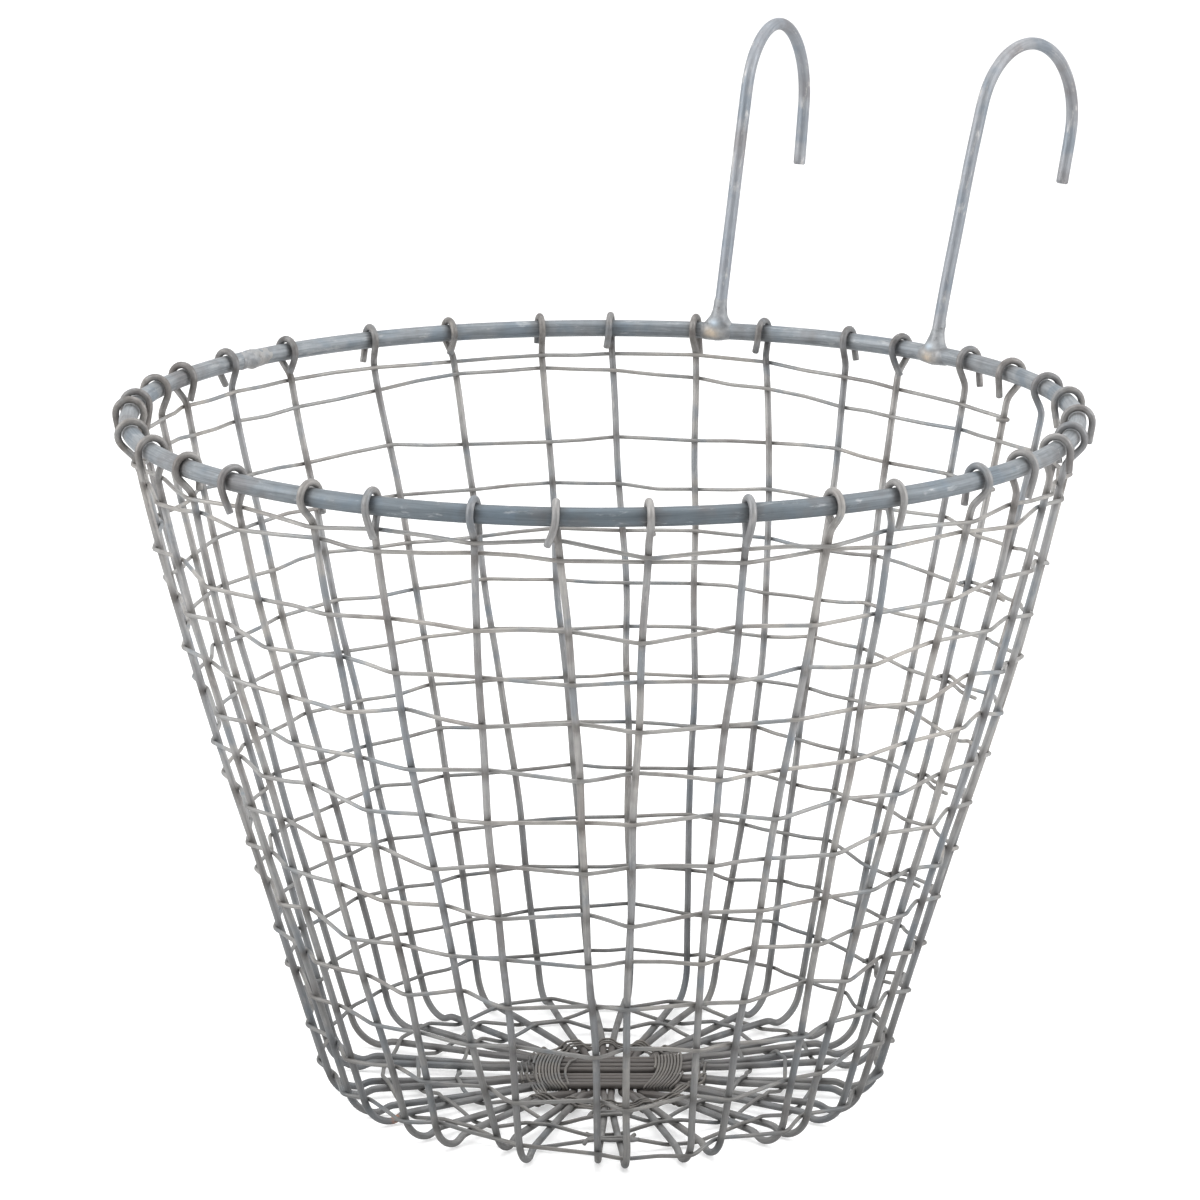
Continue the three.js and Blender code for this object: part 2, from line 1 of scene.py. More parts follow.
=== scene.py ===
"""The looks of a hanging basket woven from zinc-coated wire.

Every wire is drawn again, round and smoothly bent, along the route that its solid takes. Lengths are
in millimetres until a mesh or a material is made, angles are in degrees, and -90 degrees is the front.
The weave is described with its own front towards -90 and is turned by WEAVE_TURN once it is drawn.
"""

import math
from types import SimpleNamespace

import bpy
import numpy as np
from mathutils import Matrix, Vector, noise


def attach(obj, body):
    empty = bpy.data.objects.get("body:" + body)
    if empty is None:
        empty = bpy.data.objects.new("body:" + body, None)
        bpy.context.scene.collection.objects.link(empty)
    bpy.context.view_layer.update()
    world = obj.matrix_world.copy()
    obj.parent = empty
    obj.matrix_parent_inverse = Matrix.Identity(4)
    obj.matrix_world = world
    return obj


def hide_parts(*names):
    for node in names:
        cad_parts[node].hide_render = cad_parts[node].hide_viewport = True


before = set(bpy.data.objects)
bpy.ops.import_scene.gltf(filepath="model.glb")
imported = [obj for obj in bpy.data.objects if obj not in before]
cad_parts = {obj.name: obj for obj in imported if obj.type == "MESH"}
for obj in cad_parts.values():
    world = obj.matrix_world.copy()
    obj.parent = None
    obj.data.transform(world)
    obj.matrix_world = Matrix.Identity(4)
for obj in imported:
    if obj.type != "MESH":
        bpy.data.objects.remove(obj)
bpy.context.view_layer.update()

MM = 0.001

# Stock, as diameters
RING_ROD = 5.9
HOOK_ROD = 4.3
STAKE_WIRE = 2.34
WEAVER_WIRE = 1.36
LASH_WIRE = 0.88
TWINE_WIRE = 0.8

# How many sides the round section of each has
RING_SIDES = 28
HOOK_SIDES = 22
STAKE_SIDES = 14
WEAVER_SIDES = 10
LASH_SIDES = 8

# A cut end: where it starts to narrow, as a share of the wire, and its width there
CUT_BEVEL = 0.12
CUT_GIRTH = 0.8

# Overall shape
RING_RADIUS = 155.0
RING_HEIGHT = 229.0
RING_OUT_OF_ROUND = 0.35
RING_OUT_OF_LEVEL = 0.3
FLOOR_RADIUS = 91.5
HEEL_RADIUS = 12.0
SIDE_BOW = 2.8
WEAVE_TURN = 32.0

# The crossing under the base
LOWER_PAIRS = 5
UPPER_PAIRS = 4
LOWER_PITCH = 6.2
UPPER_PITCH = 8.15
UPPER_SHIFT = [0.3, -1.4, 0.3, -0.2]
WIRE_PITCH = 2.9
WIDE_PAIR = 2
WIDE_PAIR_PITCH = 4.0
PAIR_SPREAD = 3.0
PAIR_PINCH = 1.1
CUT_WIRE_PAIR = 0
LOWER_EXIT = 14.0
UPPER_EXIT = 20.0
LOWER_RISE = 11.0
LEVEL_END = 34.4
UPPER_FALL = 4.0
HEEL_DROP = 4.0
FLOOR_LEVEL = 1.17
HEEL_LEVEL = 1.2
UPPER_LEVEL = 3.5
RAISED_LEVEL = 3.1

# Where the stakes pass over the ring
LOOP_RADIUS = 4.72
LOOP_UNEVEN = 0.35
LOOP_TWIST = 14
LOOP_END = 188
NECK_DROP = 8.03
TAIL_LEAN = 1.1
FIRST_INSIDE_STAKE = 7

# How far a stake wanders on its way up, across its line and outwards
WANDER_ACROSS = 1.6
WANDER_OUTWARD = 1.0

# How each stake was set by hand, counted from the front: how far its place on the ring and on the heel is
# from an even one in degrees, its sideways bow, how far its heel stands out, and how far its cut tail hangs
# below the ring's middle and strays along the ring
STAKE_DRIFT = [
    0, 0, 1, 1, -1, 2, 1, 1, -2, -2, -1, -2,
    -2, -3, -1, -3, -1, -2, -1, -2, 0, 1, 4, 5,
    5, 3, 2, -3, 0, 0, 0, -1, 1, -1, 1,
]
HEEL_DRIFT = [
    2, 1.5, 0, 1, 1.5, 2, 0, 1.5, -0.5, -1, 0, 2.5,
    -5.5, -3, -4, -1, -2, -1.5, -3, 0, -3, 5, 2, -4,
    4, 1.5, 1, 1, 1, 0, 1, 0, 2, 0, 1,
]
STAKE_BOW = [
    1.5, -1.5, -2, -2, -1, -3, 0, 0, 0, 0, 0, 1,
    0, 1.5, 0, 1, -8, 0, -2, 0, -1.5, -2.5, 0, 0,
    3, -1.5, 0, 0, 0, 0, -1, 0, 1, -1.5, -1.5,
]
HEEL_REACH = {1: 5, 2: 3, 33: -6, 34: 3}
TAIL_LENGTH = [
    8.5, 7, 9.5, 7, 9, 8, 9, 7, 8, 7.5, 8, 7,
    8, 8.8, 8.8, 7.2, 6.4, 10, 6.5, 6, 7, 8.5, 6.8, 8.5,
    7.3, 7.5, 8, 7, 8, 8.5, 7, 9, 5.6, 9.5, 7.2,
]
TAIL_SPLAY = [
    -2.8, 1.5, -2, 2, -1.5, -2.5, -3, 2, -1, 2.5, -1.5, 2,
    1, -2, -3.2, -1.5, 1.5, -0.8, 1, 0.4, 1.5, 1.5, 2, -3.5,
    1.5, -2, 2, -1.5, 2, 3, 1.5, 3.4, 1.8, 2.4, 0.6,
]

# The weave
RIM_ROWS = [219.2, 214.2]
# Angles round the basket, each with the heights of the upper and the lower row under the ring
RIM_HEIGHTS = [
    (-135, 220.0, 214.5), (-112, 220.5, 215.2), (-95, 220.5, 215.7), (-86, 216.6, 213.4),
    (-70, 216.2, 213.9), (-50, 217.7, 213.5), (-38, 216.0, 210.8), (0, 215.5, 208.5),
    (28, 214.0, 206.3), (50, 215.4, 205.6), (62, 217.8, 207.0), (72, 220.0, 211.5),
    (92, 220.2, 214.6), (104, 219.0, 216.2), (128, 219.2, 209.8), (155, 219.6, 209.6),
]
SIDE_ROWS = 12
SIDE_TOP_ROW = 191.2
SIDE_LOW_ROW = 12.0
ROWS_PER_LENGTH = 2
RAMP_STAKES = 6
RAMP_END_STAKE = 12
LAP_DROP = 2.0
HAND_WOBBLE = 0.8
WOBBLE_STEP = 2.3
ROW_WANDER = 2.4
WEAVER_SAG = 1.5
WEAVER_GRIP = 0.02
BELOW_NECK = 0.6
BASE_ROWS = {"inner": 48.4, "middle": 60.8, "outer": 73.2}
BASE_ROW_GROWTH = 2.2
BASE_ROW_WANDER = 2.2
ROW_TILT = [0, 0, 0, 0, 0, 0, 2.0, 1.0, 0, 1.2, 3.4, 5.6]

# The lashing of the crossing
TWINE_ROWS = 3
TWINE_WANDER = 1.1
LASH_PITCH = 1.08
LASH_PULL = 2.2
# The loose start of the left binding: how far out it is, its share of the way to the front, and its level
LOOSE_START = [
    (10.4, -0.62, 1.0), (12.6, -0.4, 1.2), (14.0, 0.1, 1.2),
    (14.1, 0.5, 1.1), (12.9, 0.97, 0.5), (14.4, 0.8, -1.0),
]

# How far the darkening spreads from where two wires cross
DARKENING_REACH = 2.4

# The hooks
HOOK_PLACES = {1: 106.6, -1: 73.9}
HOOK_TOE = 8.0
HOOK_LEAN = 17.4
HOOK_SHANK = 83.5
HOOK_FOOT = 5.0
HOOK_TOE_RISE = 1.17
HOOK_SUNK = 2.5

# The weld that closes the ring, and how far the heat of a weld shows
SEAM_ANGLE = 140.5
SEAM_LENGTH = 15.0
SEAM_REACH = 3.1
WELD_HEAT_REACH = 11.0

# The fillet at a hook's foot: heights above the ring's middle, each with its half widths along the ring
# and across it
FILLET = [
    (0.0, 6.4, 3.25), (2.2, 5.8, 3.25), (3.2, 4.75, 3.2), (4.3, 3.8, 3.0),
    (5.6, 3.1, 2.7), (7.5, 2.6, 2.45), (10.0, 2.35, 2.3), (12.0, 2.25, 2.25),
]

GROUP_ANGLE = 180 / (LOWER_PAIRS + UPPER_PAIRS)
FRONT, RIGHT, BACK, LEFT = -90, 0, 90, 180
SIDE_SLOPE = math.atan2(RING_RADIUS - FLOOR_RADIUS, RING_HEIGHT - FLOOR_LEVEL)
HEEL_MIDDLE = FLOOR_RADIUS - HEEL_RADIUS * (1 - math.sin(SIDE_SLOPE)) / math.cos(SIDE_SLOPE)
HEEL_TOP = HEEL_LEVEL + HEEL_RADIUS * (1 - math.sin(SIDE_SLOPE))
TURN_OF_WEAVE = Matrix.Rotation(math.radians(WEAVE_TURN), 4, "Z")
WEAVER_SEAT = (STAKE_WIRE + WEAVER_WIRE) / 2 - WEAVER_GRIP
NECK_HEIGHT = RING_HEIGHT - NECK_DROP


def point(x, y, z=0.0):
    return np.array([x, y, z], float)


def polar(radius, angle, z=0.0):
    turn = math.radians(angle)
    return point(radius * math.cos(turn), radius * math.sin(turn), z)


UP = point(0, 0, 1)

# The lashed crossing lies a little in front of the base's middle
CROSSING = point(1.5, -3.8)


def unit(vector):
    return vector / np.linalg.norm(vector)


def raised(direction, angle):
    """A level direction turned upwards by an angle."""
    turn = math.radians(angle)
    return direction * math.cos(turn) + UP * math.sin(turn)


def on_ring(angle):
    return polar(RING_RADIUS, angle, RING_HEIGHT)


def near_angle(angle):
    return (angle + 180) % 360 - 180


def drift(seed, along, reach):
    """A slow, even-handed wander, as of a wire bent by hand. Each seed has its own lane of the noise."""
    return reach * noise.noise(Vector((17.3 * seed + 0.5, along, 4.1)))


def eased(share):
    """A share from 0 to 1 that starts and ends gently."""
    share = min(max(share, 0), 1)
    return share * share * (3 - 2 * share)


def smoothed(points, step, soften):
    """Evenly spaced points along a line whose corners are rounded as a bent wire's are."""
    fine = min(0.3, step / 2)
    points = np.asarray(points)
    along = np.concatenate([[0], np.cumsum(np.linalg.norm(np.diff(points, axis=0), axis=1))])
    places = np.linspace(0, along[-1], int(along[-1] / fine) + 2)
    line = np.stack([np.interp(places, along, points[:, axis]) for axis in range(3)], axis=1)
    reach = min(int(3 * soften / fine), len(line) - 2)
    weights = np.exp(-0.5 * (np.arange(-reach, reach + 1) * fine / soften) ** 2)
    head = 2 * line[0] - line[reach:0:-1]
    tail = 2 * line[-1] - line[-2 : -reach - 2 : -1]
    padded = np.concatenate([head, line, tail])
    weights /= weights.sum()
    line = np.stack([np.convolve(padded[:, axis], weights, "valid") for axis in range(3)], axis=1)
    count = max(int(along[-1] / step), 2)
    return line[np.linspace(0, len(line) - 1, count + 1).round().astype(int)]


# The stakes


def bundle_wire(bundle, pair, side):
    """A wire of a bundle, on one side of its pair, with the arms in which its two ends fan out."""
    place = pair - (bundle.pairs - 1) / 2
    gap = WIDE_PAIR_PITCH if bundle.upper and pair == WIDE_PAIR else WIRE_PITCH
    shift = UPPER_SHIFT[pair] if bundle.upper else 0
    offset = CROSSING + polar(1, bundle.axis + 90) * (place * bundle.pitch + side * gap / 2 + shift)
    has_cut_wire = not bundle.upper and pair == CUT_WIRE_PAIR
    arms = []
    for end in (1, -1):
        alone = has_cut_wire and end == -1
        spread = 0 if alone and side == -1 else side * PAIR_SPREAD
        middle = (bundle.axis if end == 1 else bundle.axis + 180) + end * place * GROUP_ANGLE
        along = polar(1, bundle.axis) * end
        arms.append(SimpleNamespace(
            middle=middle,
            heading=middle + end * spread,
            side=side * end,
            along=along,
            exit=along * bundle.reach + offset + UP * bundle.level,
            upper=bundle.upper,
            alone=alone,
        ))
    ahead, behind = arms
    is_cut = has_cut_wire and side == 1
    return SimpleNamespace(ahead=ahead, behind=None if is_cut else behind, cut_end=behind.exit)


def crossing_wires():
    """The stake wires. Each lies in a bundle and has an arm at each end, but one is cut in the crossing."""
    lower = SimpleNamespace(
        pairs=LOWER_PAIRS, pitch=LOWER_PITCH, axis=FRONT, reach=LOWER_EXIT, level=FLOOR_LEVEL, upper=False,
    )
    upper = SimpleNamespace(
        pairs=UPPER_PAIRS, pitch=UPPER_PITCH, axis=RIGHT, reach=UPPER_EXIT, level=UPPER_LEVEL, upper=True,
    )
    return [
        bundle_wire(bundle, pair, side)
        for bundle in (lower, upper)
        for pair in range(bundle.pairs)
        for side in (-1, 1)
    ]


def order_arms(wires):
    """The arms in their order round the basket, each with its place on the ring."""
    arms = [arm for wire in wires for arm in (wire.ahead, wire.behind) if arm is not None]
    start = FRONT - GROUP_ANGLE / 2
    arms.sort(key=lambda arm: (arm.heading - start) % 360)
    for n, arm in enumerate(arms):
        arm.number = n
        arm.heading += HEEL_DRIFT[n]
        arm.group = round((arm.middle - FRONT) % 360 / GROUP_ANGLE)
        arm.ring_angle = FRONT + (n - 0.5) * 360 / len(arms) + STAKE_DRIFT[n]
        arm.turn = near_angle(arm.ring_angle - arm.heading)
        arm.reach = HEEL_REACH.get(n, 0)
        arm.heel = polar(HEEL_MIDDLE + arm.reach, arm.heading, HEEL_LEVEL)
        arm.outside = (n - FIRST_INSIDE_STAKE) % len(arms) % 2 == 1
    return arms


WIRES = crossing_wires()
ARMS = order_arms(WIRES)


def arm_number(n):
    return ARMS[n % len(ARMS)]


def side_radius(z):
    """How far out the side is at a height: a straight flare with a slight swell, two thirds of the way up."""
    rise = (z - FLOOR_LEVEL) / (RING_HEIGHT - FLOOR_LEVEL)
    swell = rise * rise * (1 - rise) * 27 / 4
    return FLOOR_RADIUS + (RING_RADIUS - FLOOR_RADIUS) * rise + SIDE_BOW * swell


def heel_radius(z):
    """How far out the round heel is at a height."""
    return HEEL_MIDDLE + HEEL_RADIUS * math.sin(math.acos(1 - (z - HEEL_LEVEL) / HEEL_RADIUS))


def on_side(arm, z):
    """Where a stake stands at a height. It leans from the heel to the ring with its own bow, and wanders."""
    rise = (z - HEEL_TOP) / (RING_HEIGHT - HEEL_TOP)
    part_way = min(max(rise, 0), 1)
    radius = side_radius(z) if z > HEEL_TOP else heel_radius(z)
    radius += arm.reach * (1 - part_way) ** 5
    swell = math.sin(math.pi * part_way)
    across = math.radians(arm.turn) * rise * RING_RADIUS + STAKE_BOW[arm.number] * swell
    across += math.sqrt(swell) * drift(arm.number, z / 40, WANDER_ACROSS)
    outward = math.sqrt(swell) * drift(arm.number + 50, z / 60, WANDER_OUTWARD)
    return polar(radius + outward, arm.heading + math.degrees(across / radius), z)


def run_share(arm, distance):
    """The share of an arm's run in the base at which it has gone a distance along its bundle's way."""
    start = (arm.exit - CROSSING) @ arm.along
    return max((distance - start) / ((arm.heel - CROSSING) @ arm.along - start), 0)


def level_of(arm, share):
    """How high an arm is in the base. It comes level with the others beyond the crossing."""
    if arm.upper:
        level, start, end = UPPER_LEVEL, run_share(arm, LEVEL_END), run_share(arm, LEVEL_END + UPPER_FALL)
    else:
        level, start, end = FLOOR_LEVEL, 0, run_share(arm, LOWER_EXIT + LOWER_RISE)
    return level + (RAISED_LEVEL - level) * eased((share - start) / (end - start))


def on_run(arm, share):
    """A point of an arm's run in the base. The two arms of a pair are drawn together between their ends."""
    place = arm.exit * (1 - share) + arm.heel * share
    if not arm.alone:
        aside = polar(1, arm.middle + 90)
        place = place - aside * arm.side * PAIR_PINCH * math.sin(math.pi * min(share, 1) ** 0.7)
    place[2] = level_of(arm, share)
    return place


def on_base(arm, radius, middle_point=point(0, 0)):
    """Where an arm of the base passes a distance from a point in the middle."""
    low, high = 0.0, 1.0
    for _ in range(24):
        middle = (low + high) / 2
        place = on_run(arm, middle) - middle_point
        if math.hypot(place[0], place[1]) < radius:
            low = middle
        else:
            high = middle
    return on_run(arm, low)


def loop_line(arm):
    """The crook of a stake over the ring, and its cut tail."""
    side = 1 if arm.outside else -1
    around = polar(1, arm.ring_angle + 90)
    outward = polar(1, arm.ring_angle + drift(arm.number + 100, 1.7, LOOP_TWIST)) * side
    centre = on_ring(arm.ring_angle)
    radius = LOOP_RADIUS + drift(arm.number + 120, 2.2, LOOP_UNEVEN)
    touch = math.degrees(math.acos(radius / NECK_DROP)) - 90
    line = [centre + radius * raised(outward, turn) for turn in np.linspace(touch, LOOP_END, 26)]
    splay = around * TAIL_SPLAY[arm.number]
    length = TAIL_LENGTH[arm.number]
    line.append(centre - outward * (radius - TAIL_LEAN / 2) + splay * 0.35 - UP * length * 0.5)
    line.append(centre - outward * (radius - TAIL_LEAN) + splay - UP * length)
    return line


def arm_line(arm):
    """An arm from the crossing along the base, round the heel, up the side and over the ring."""
    line = [on_run(arm, share) for share in np.linspace(0, 1 - HEEL_DROP / HEEL_MIDDLE, 24)]
    for turn in np.linspace(0, math.pi / 2 - SIDE_SLOPE, 9):
        radius = HEEL_MIDDLE + arm.reach + HEEL_RADIUS * math.sin(turn)
        line.append(polar(radius, arm.heading, HEEL_LEVEL + HEEL_RADIUS * (1 - math.cos(turn))))
    line += [on_side(arm, z) for z in np.linspace(HEEL_TOP, NECK_HEIGHT, 40)[1:]]
    return line + loop_line(arm)


def stake_lines():
    lines = {}
    for i, wire in enumerate(WIRES):
        behind = arm_line(wire.behind)[::-1] if wire.behind else [wire.cut_end]
        lines["stake_wire_%02d" % (i + 1)] = smoothed(behind + arm_line(wire.ahead), step=1.2, soften=1.3)
    return lines


# The weavers


def over_or_under(step):
    """The side on which a weaver passes: 1 at even steps and -1 at odd ones."""
    return 1 if step % 2 == 0 else -1


def row_height(rows, knot):
    """The height of a weaver at a knot: level for most of a turn, then a ramp to the next row."""
    turn = min(max(knot // len(ARMS), 0), len(rows) - 1)
    following = min(turn + 1, len(rows) - 1)
    ramp = eased((knot - (turn + 1) * len(ARMS) + RAMP_STAKES) / RAMP_STAKES)
    return rows[turn] + (rows[following] - rows[turn]) * ramp


def rim_height(knot, angle):
    """The height of the weaver under the ring, which dips and rises as it was measured."""
    share = (row_height(RIM_ROWS, knot) - RIM_ROWS[1]) / (RIM_ROWS[0] - RIM_ROWS[1])
    places, *rows = zip(*RIM_HEIGHTS)
    high, low = [np.interp(near_angle(angle), places, heights, period=360) for heights in rows]
    return high * share + low * (1 - share)


def side_height(rows, knot, angle, seed):
    """The height of a side weaver, with the wobble, the wander and the tilt of each of its rows."""
    z = row_height(rows, knot) + HAND_WOBBLE * math.sin(WOBBLE_STEP * knot)
    z += drift(seed, knot * 0.43, ROW_WANDER)
    tilt = np.interp(knot / len(ARMS) - 0.9, np.arange(SIDE_ROWS), ROW_TILT)
    return z + tilt * math.sin(math.radians(angle))


def side_knot(rows, knot, seed, drop=0.0):
    """Where a weaver passes a stake, and the way it faces there."""
    arm = arm_number(RAMP_END_STAKE + knot)
    if rows is RIM_ROWS:
        z = rim_height(knot, arm.ring_angle)
    else:
        z = side_height(rows, knot, arm.ring_angle, seed) - drop
    outward = unit(polar(1, arm.ring_angle) * math.cos(SIDE_SLOPE) - UP * math.sin(SIDE_SLOPE))
    side = over_or_under(knot)
    return on_side(arm, min(z, NECK_HEIGHT - BELOW_NECK)), outward * side


def woven_line(knots, hold, seed):
    """A weaver through its knots. It hugs each stake for a short way, and sags or rises a little between."""
    line = []
    for i, (middle, towards) in enumerate(knots):
        before = knots[max(i - 1, 0)][0]
        after = knots[min(i + 1, len(knots) - 1)][0]
        run = unit(after - before)
        place = middle + towards * WEAVER_SEAT
        line += [place - run * hold, place + towards * 0.1, place + run * hold]
        if i < len(knots) - 1:
            beyond = after + knots[i + 1][1] * WEAVER_SEAT
            aside = unit(np.cross(run, towards))
            line.append((place + beyond) / 2 + aside * drift(seed, i * 0.61, WEAVER_SAG))
    return line


def end_knot(knots, last):
    """The last or the first knot, and the way a weaver runs off from it."""
    (middle, towards), (before, _) = knots[:-3:-1] if last else knots[:2]
    return middle, towards, unit(middle - before)


def curled_end(knots, last):
    """A cut end bent round the stake where a length of side weaver stops."""
    middle, towards, run = end_knot(knots, last)
    end = []
    for turn in (35, 75, 115, 150):
        angle = math.radians(turn)
        round_stake = towards * math.cos(angle) + run * 1.15 * math.sin(angle)
        end.append(middle + WEAVER_SEAT * round_stake - UP * turn / 220)
    end.append(end[-1] - towards * 1.6 - run * 0.9 - UP * 0.4)
    return end


def tucked_end(knots, last, fall, length, outward):
    """A cut end that runs on past the stake where a base weaver stops, and drops and turns aside."""
    middle, towards, run = end_knot(knots, last)
    seated = middle + towards * WEAVER_SEAT
    return [seated + run * 4.0, seated - towards * fall + run * length + unit(middle * [1, 1, 0]) * outward]


def side_plans():
    """What each length of weaver on the side covers: its name, its rows and its first and last knot."""
    count = len(ARMS)
    gap = (SIDE_TOP_ROW - SIDE_LOW_ROW) / (SIDE_ROWS - 1)
    rows = [SIDE_TOP_ROW - row * gap for row in range(SIDE_ROWS)]
    plans = [("rim_weaver", RIM_ROWS, 0, len(RIM_ROWS) * count - 1)]
    for row in range(0, SIDE_ROWS, ROWS_PER_LENGTH):
        following = row + ROWS_PER_LENGTH
        first = row * count - (1 if row else 0)
        last = following * count - (1 if following >= SIDE_ROWS else 0)
        plans.append(("side_weaver_%d" % (row // ROWS_PER_LENGTH + 1), rows, first, last))
    return plans


def side_lines():
    """The weavers of the side, and the places where they pass the stakes."""
    lines = {}
    crossings = []
    for name, rows, first, last in side_plans():
        seed = 200 if rows is RIM_ROWS else 210
        knots = []
        for knot in range(first, last + 1):
            drop = LAP_DROP * min(max((first + 3 - knot) / 2, 0), 1) if first else 0.0
            knots.append(side_knot(rows, knot, seed, drop))
        line = woven_line(knots, hold=1.1, seed=seed + 5)
        line = curled_end(knots, last=False)[::-1] + line + curled_end(knots, last=True)
        lines[name] = smoothed(line, step=0.9, soften=1.5)
        crossings += [middle for middle, _ in knots]
    return lines, crossings


def base_lines():
    """The weavers of the base, whose ends are tucked past a stake, and the places where they pass stakes."""
    lines = {}
    crossings = []
    for row, (name, out) in enumerate(BASE_ROWS.items()):
        knots = []
        for knot in range(0, len(ARMS) + 2):
            arm = arm_number(knot)
            radius = out + BASE_ROW_GROWTH * knot / len(ARMS)
            radius += drift(230 + row, knot * 0.37, BASE_ROW_WANDER)
            side = over_or_under(arm.group + row)
            knots.append((on_base(arm, radius), UP * side))
        start = tucked_end(knots, last=False, fall=1.4, length=5.2, outward=2.0)[::-1]
        end = tucked_end(knots, last=True, fall=0.6, length=6.0, outward=-3.0)
        line = start + woven_line(knots, hold=0.9, seed=240 + row) + end
        lines["base_weaver_" + name] = smoothed(line, step=0.9, soften=1.0)
        crossings += [middle for middle, _ in knots]
    return lines, crossings


# The lashing


def arms_towards(axis, pairs):
    aside = polar(1, axis + 90)
    reach = pairs * GROUP_ANGLE / 2
    near = [arm for arm in ARMS if abs(near_angle(arm.middle - axis)) < reach]
    return sorted(near, key=lambda arm: arm.exit @ aside)


def binding_line(axis, turns, back, bow, corner, loose=False):
    """The close winding round one end of the upper bundle. Its turns bow outwards over the top, then run
    inwards down the front as they were pulled tight. It is given by how far out its back, its bow and its
    front corner are."""
    along = polar(1, axis)
    aside = polar(1, axis + 90)
    to_front = math.copysign(1, -aside[1])
    bundle = arms_towards(axis, UPPER_PAIRS)
    seat = (STAKE_WIRE + LASH_WIRE) / 2
    steps = 40

    def place(distance, across, level):
        low, high = [on_run(edge, run_share(edge, distance)) @ aside for edge in (bundle[0], bundle[-1])]
        reach = (low + high) / 2 + ((high - low) / 2 + seat) * across
        return along * (distance + CROSSING @ along) + aside * reach + UP * (UPPER_LEVEL + seat * level)

    line = [place(out, across * to_front, level) for out, across, level in LOOSE_START] if loose else []
    for step in range(steps // 2 if loose else 0, turns * steps):
        turn = 2 * math.pi * step / steps
        across = math.copysign(abs(math.sin(turn)) ** 0.8, math.sin(turn))
        level = math.copysign(min(abs(math.cos(turn)) * 2.4, 1), math.cos(turn))
        front = (across * to_front + 1) / 2
        above = back + (corner - back) * front ** 1.5 + bow * (1 - across ** 2)
        pulled = LASH_PULL * (1 - level) / 1.6 if front > 0.5 else 0
        under = min(max((-level - 0.6) / 0.4, 0), 1)
        distance = (above - pulled) * (1 - under) + (back - 1.0) * under + LASH_PITCH * step / steps
        line.append(place(distance + drift(380, step / steps * 1.7, 0.12), across, level))
    return smoothed(line, step=0.45, soften=0.6)


def twine_lines(axis, pairs, start, gap, seed, each_wire=False, reach=(0, 99)):
    """Fine wire laced over and under one side's stakes, in two strands that change places at each step."""
    along = polar(1, axis)
    aside = polar(1, axis + 90)
    groups = {}
    for arm in arms_towards(axis, pairs):
        groups.setdefault(arm.number if each_wire else arm.group, []).append(arm)
    ordered = sorted(groups.values(), key=lambda group: group[0].exit @ aside)[reach[0] : reach[1]]
    seat = (STAKE_WIRE + TWINE_WIRE) / 2
    beyond = aside * seat * 1.1
    strands = []
    for strand in (0, 1):
        line = []
        for row in range(TWINE_ROWS):
            lane = []
            for place, group in enumerate(ordered):
                side = over_or_under(place + row + strand)
                radius = start + row * gap + drift(seed + row, place + 0.7 * strand, TWINE_WANDER)
                spots = [on_base(arm, radius, CROSSING) for arm in group]
                lane.append(spots[0] - beyond + UP * side * 0.3)
                lane += [spot + UP * side * seat * 1.1 + along * 0.7 for spot in spots]
                lane.append(spots[-1] + beyond + UP * side * 0.3)
            out = over_or_under(row)
            line += lane[::out]
            if row < TWINE_ROWS - 1:
                line.append(line[-1] + aside * out * 0.9 + along * (gap / 2))
        strands.append(smoothed(line, step=0.5, soften=0.45))
    return strands


def corner_lines(strands, one_axis, one_radius, other_axis, other_radius):
    """Strands that carry the fine wire across a corner, from the pairs of one side to those of the next."""
    near, far = [polar(1, axis) for axis in (one_axis, other_axis)]
    from_pair = max(arms_towards(one_axis, UPPER_PAIRS), key=lambda arm: arm.heel @ far)
    to_pair = max(arms_towards(other_axis, LOWER_PAIRS), key=lambda arm: arm.heel @ near)
    lines = []
    for strand in range(strands):
        start = on_base(from_pair, one_radius + 1.1 * strand, CROSSING)
        end = on_base(to_pair, other_radius + 1.3 * strand, CROSSING)
        reach = unit(end - start) * 2.2
        bridge = start * 0.6 + end * 0.4 + UP * (1.7 - 0.3 * strand)
        line = [start - reach - UP * 0.6, start + UP * 1.4, bridge, end + UP * 1.4, end + reach - UP * 0.6]
        lines.append(smoothed(line, step=0.5, soften=0.9))
    return lines


def lashing_lines():
    left = twine_lines(LEFT, UPPER_PAIRS, start=25.2, gap=2.0, seed=320, each_wire=True, reach=(0, 6))
    left += corner_lines(4, LEFT, 26.5, FRONT, 29.5)
    right = twine_lines(RIGHT, UPPER_PAIRS, start=29.6, gap=1.8, seed=330, each_wire=True, reach=(1, 6))
    right += corner_lines(3, RIGHT, 30.0, FRONT, 31.0)
    return {
        "slath_binding_left": [binding_line(LEFT, turns=9, back=13.6, bow=1.6, corner=13.9, loose=True)],
        "slath_binding_right": [binding_line(RIGHT, turns=9, back=15.9, bow=1.2, corner=13.0)],
        "slath_twine_front": twine_lines(FRONT, LOWER_PAIRS, start=31.5, gap=2.2, seed=300),
        "slath_twine_back": twine_lines(BACK, LOWER_PAIRS, start=26.6, gap=2.5, seed=310),
        "slath_twine_left": left,
        "slath_twine_right": right,
    }


# The ring and the hooks


def ring_line():
    """The rod of the ring, which is very slightly out of round and out of level."""
    line = []
    for angle in np.arange(0, 360, 1.0):
        wave = math.radians(angle)
        swing = Vector((math.cos(wave), math.sin(wave), 0.0)) * 1.3
        radius = RING_RADIUS + RING_OUT_OF_ROUND * noise.noise(swing)
        lift = RING_OUT_OF_LEVEL * noise.noise(swing + Vector((5.0, 2.0, 1.0)))
        line.append(polar(radius, angle, RING_HEIGHT + lift))
    return np.array(line)


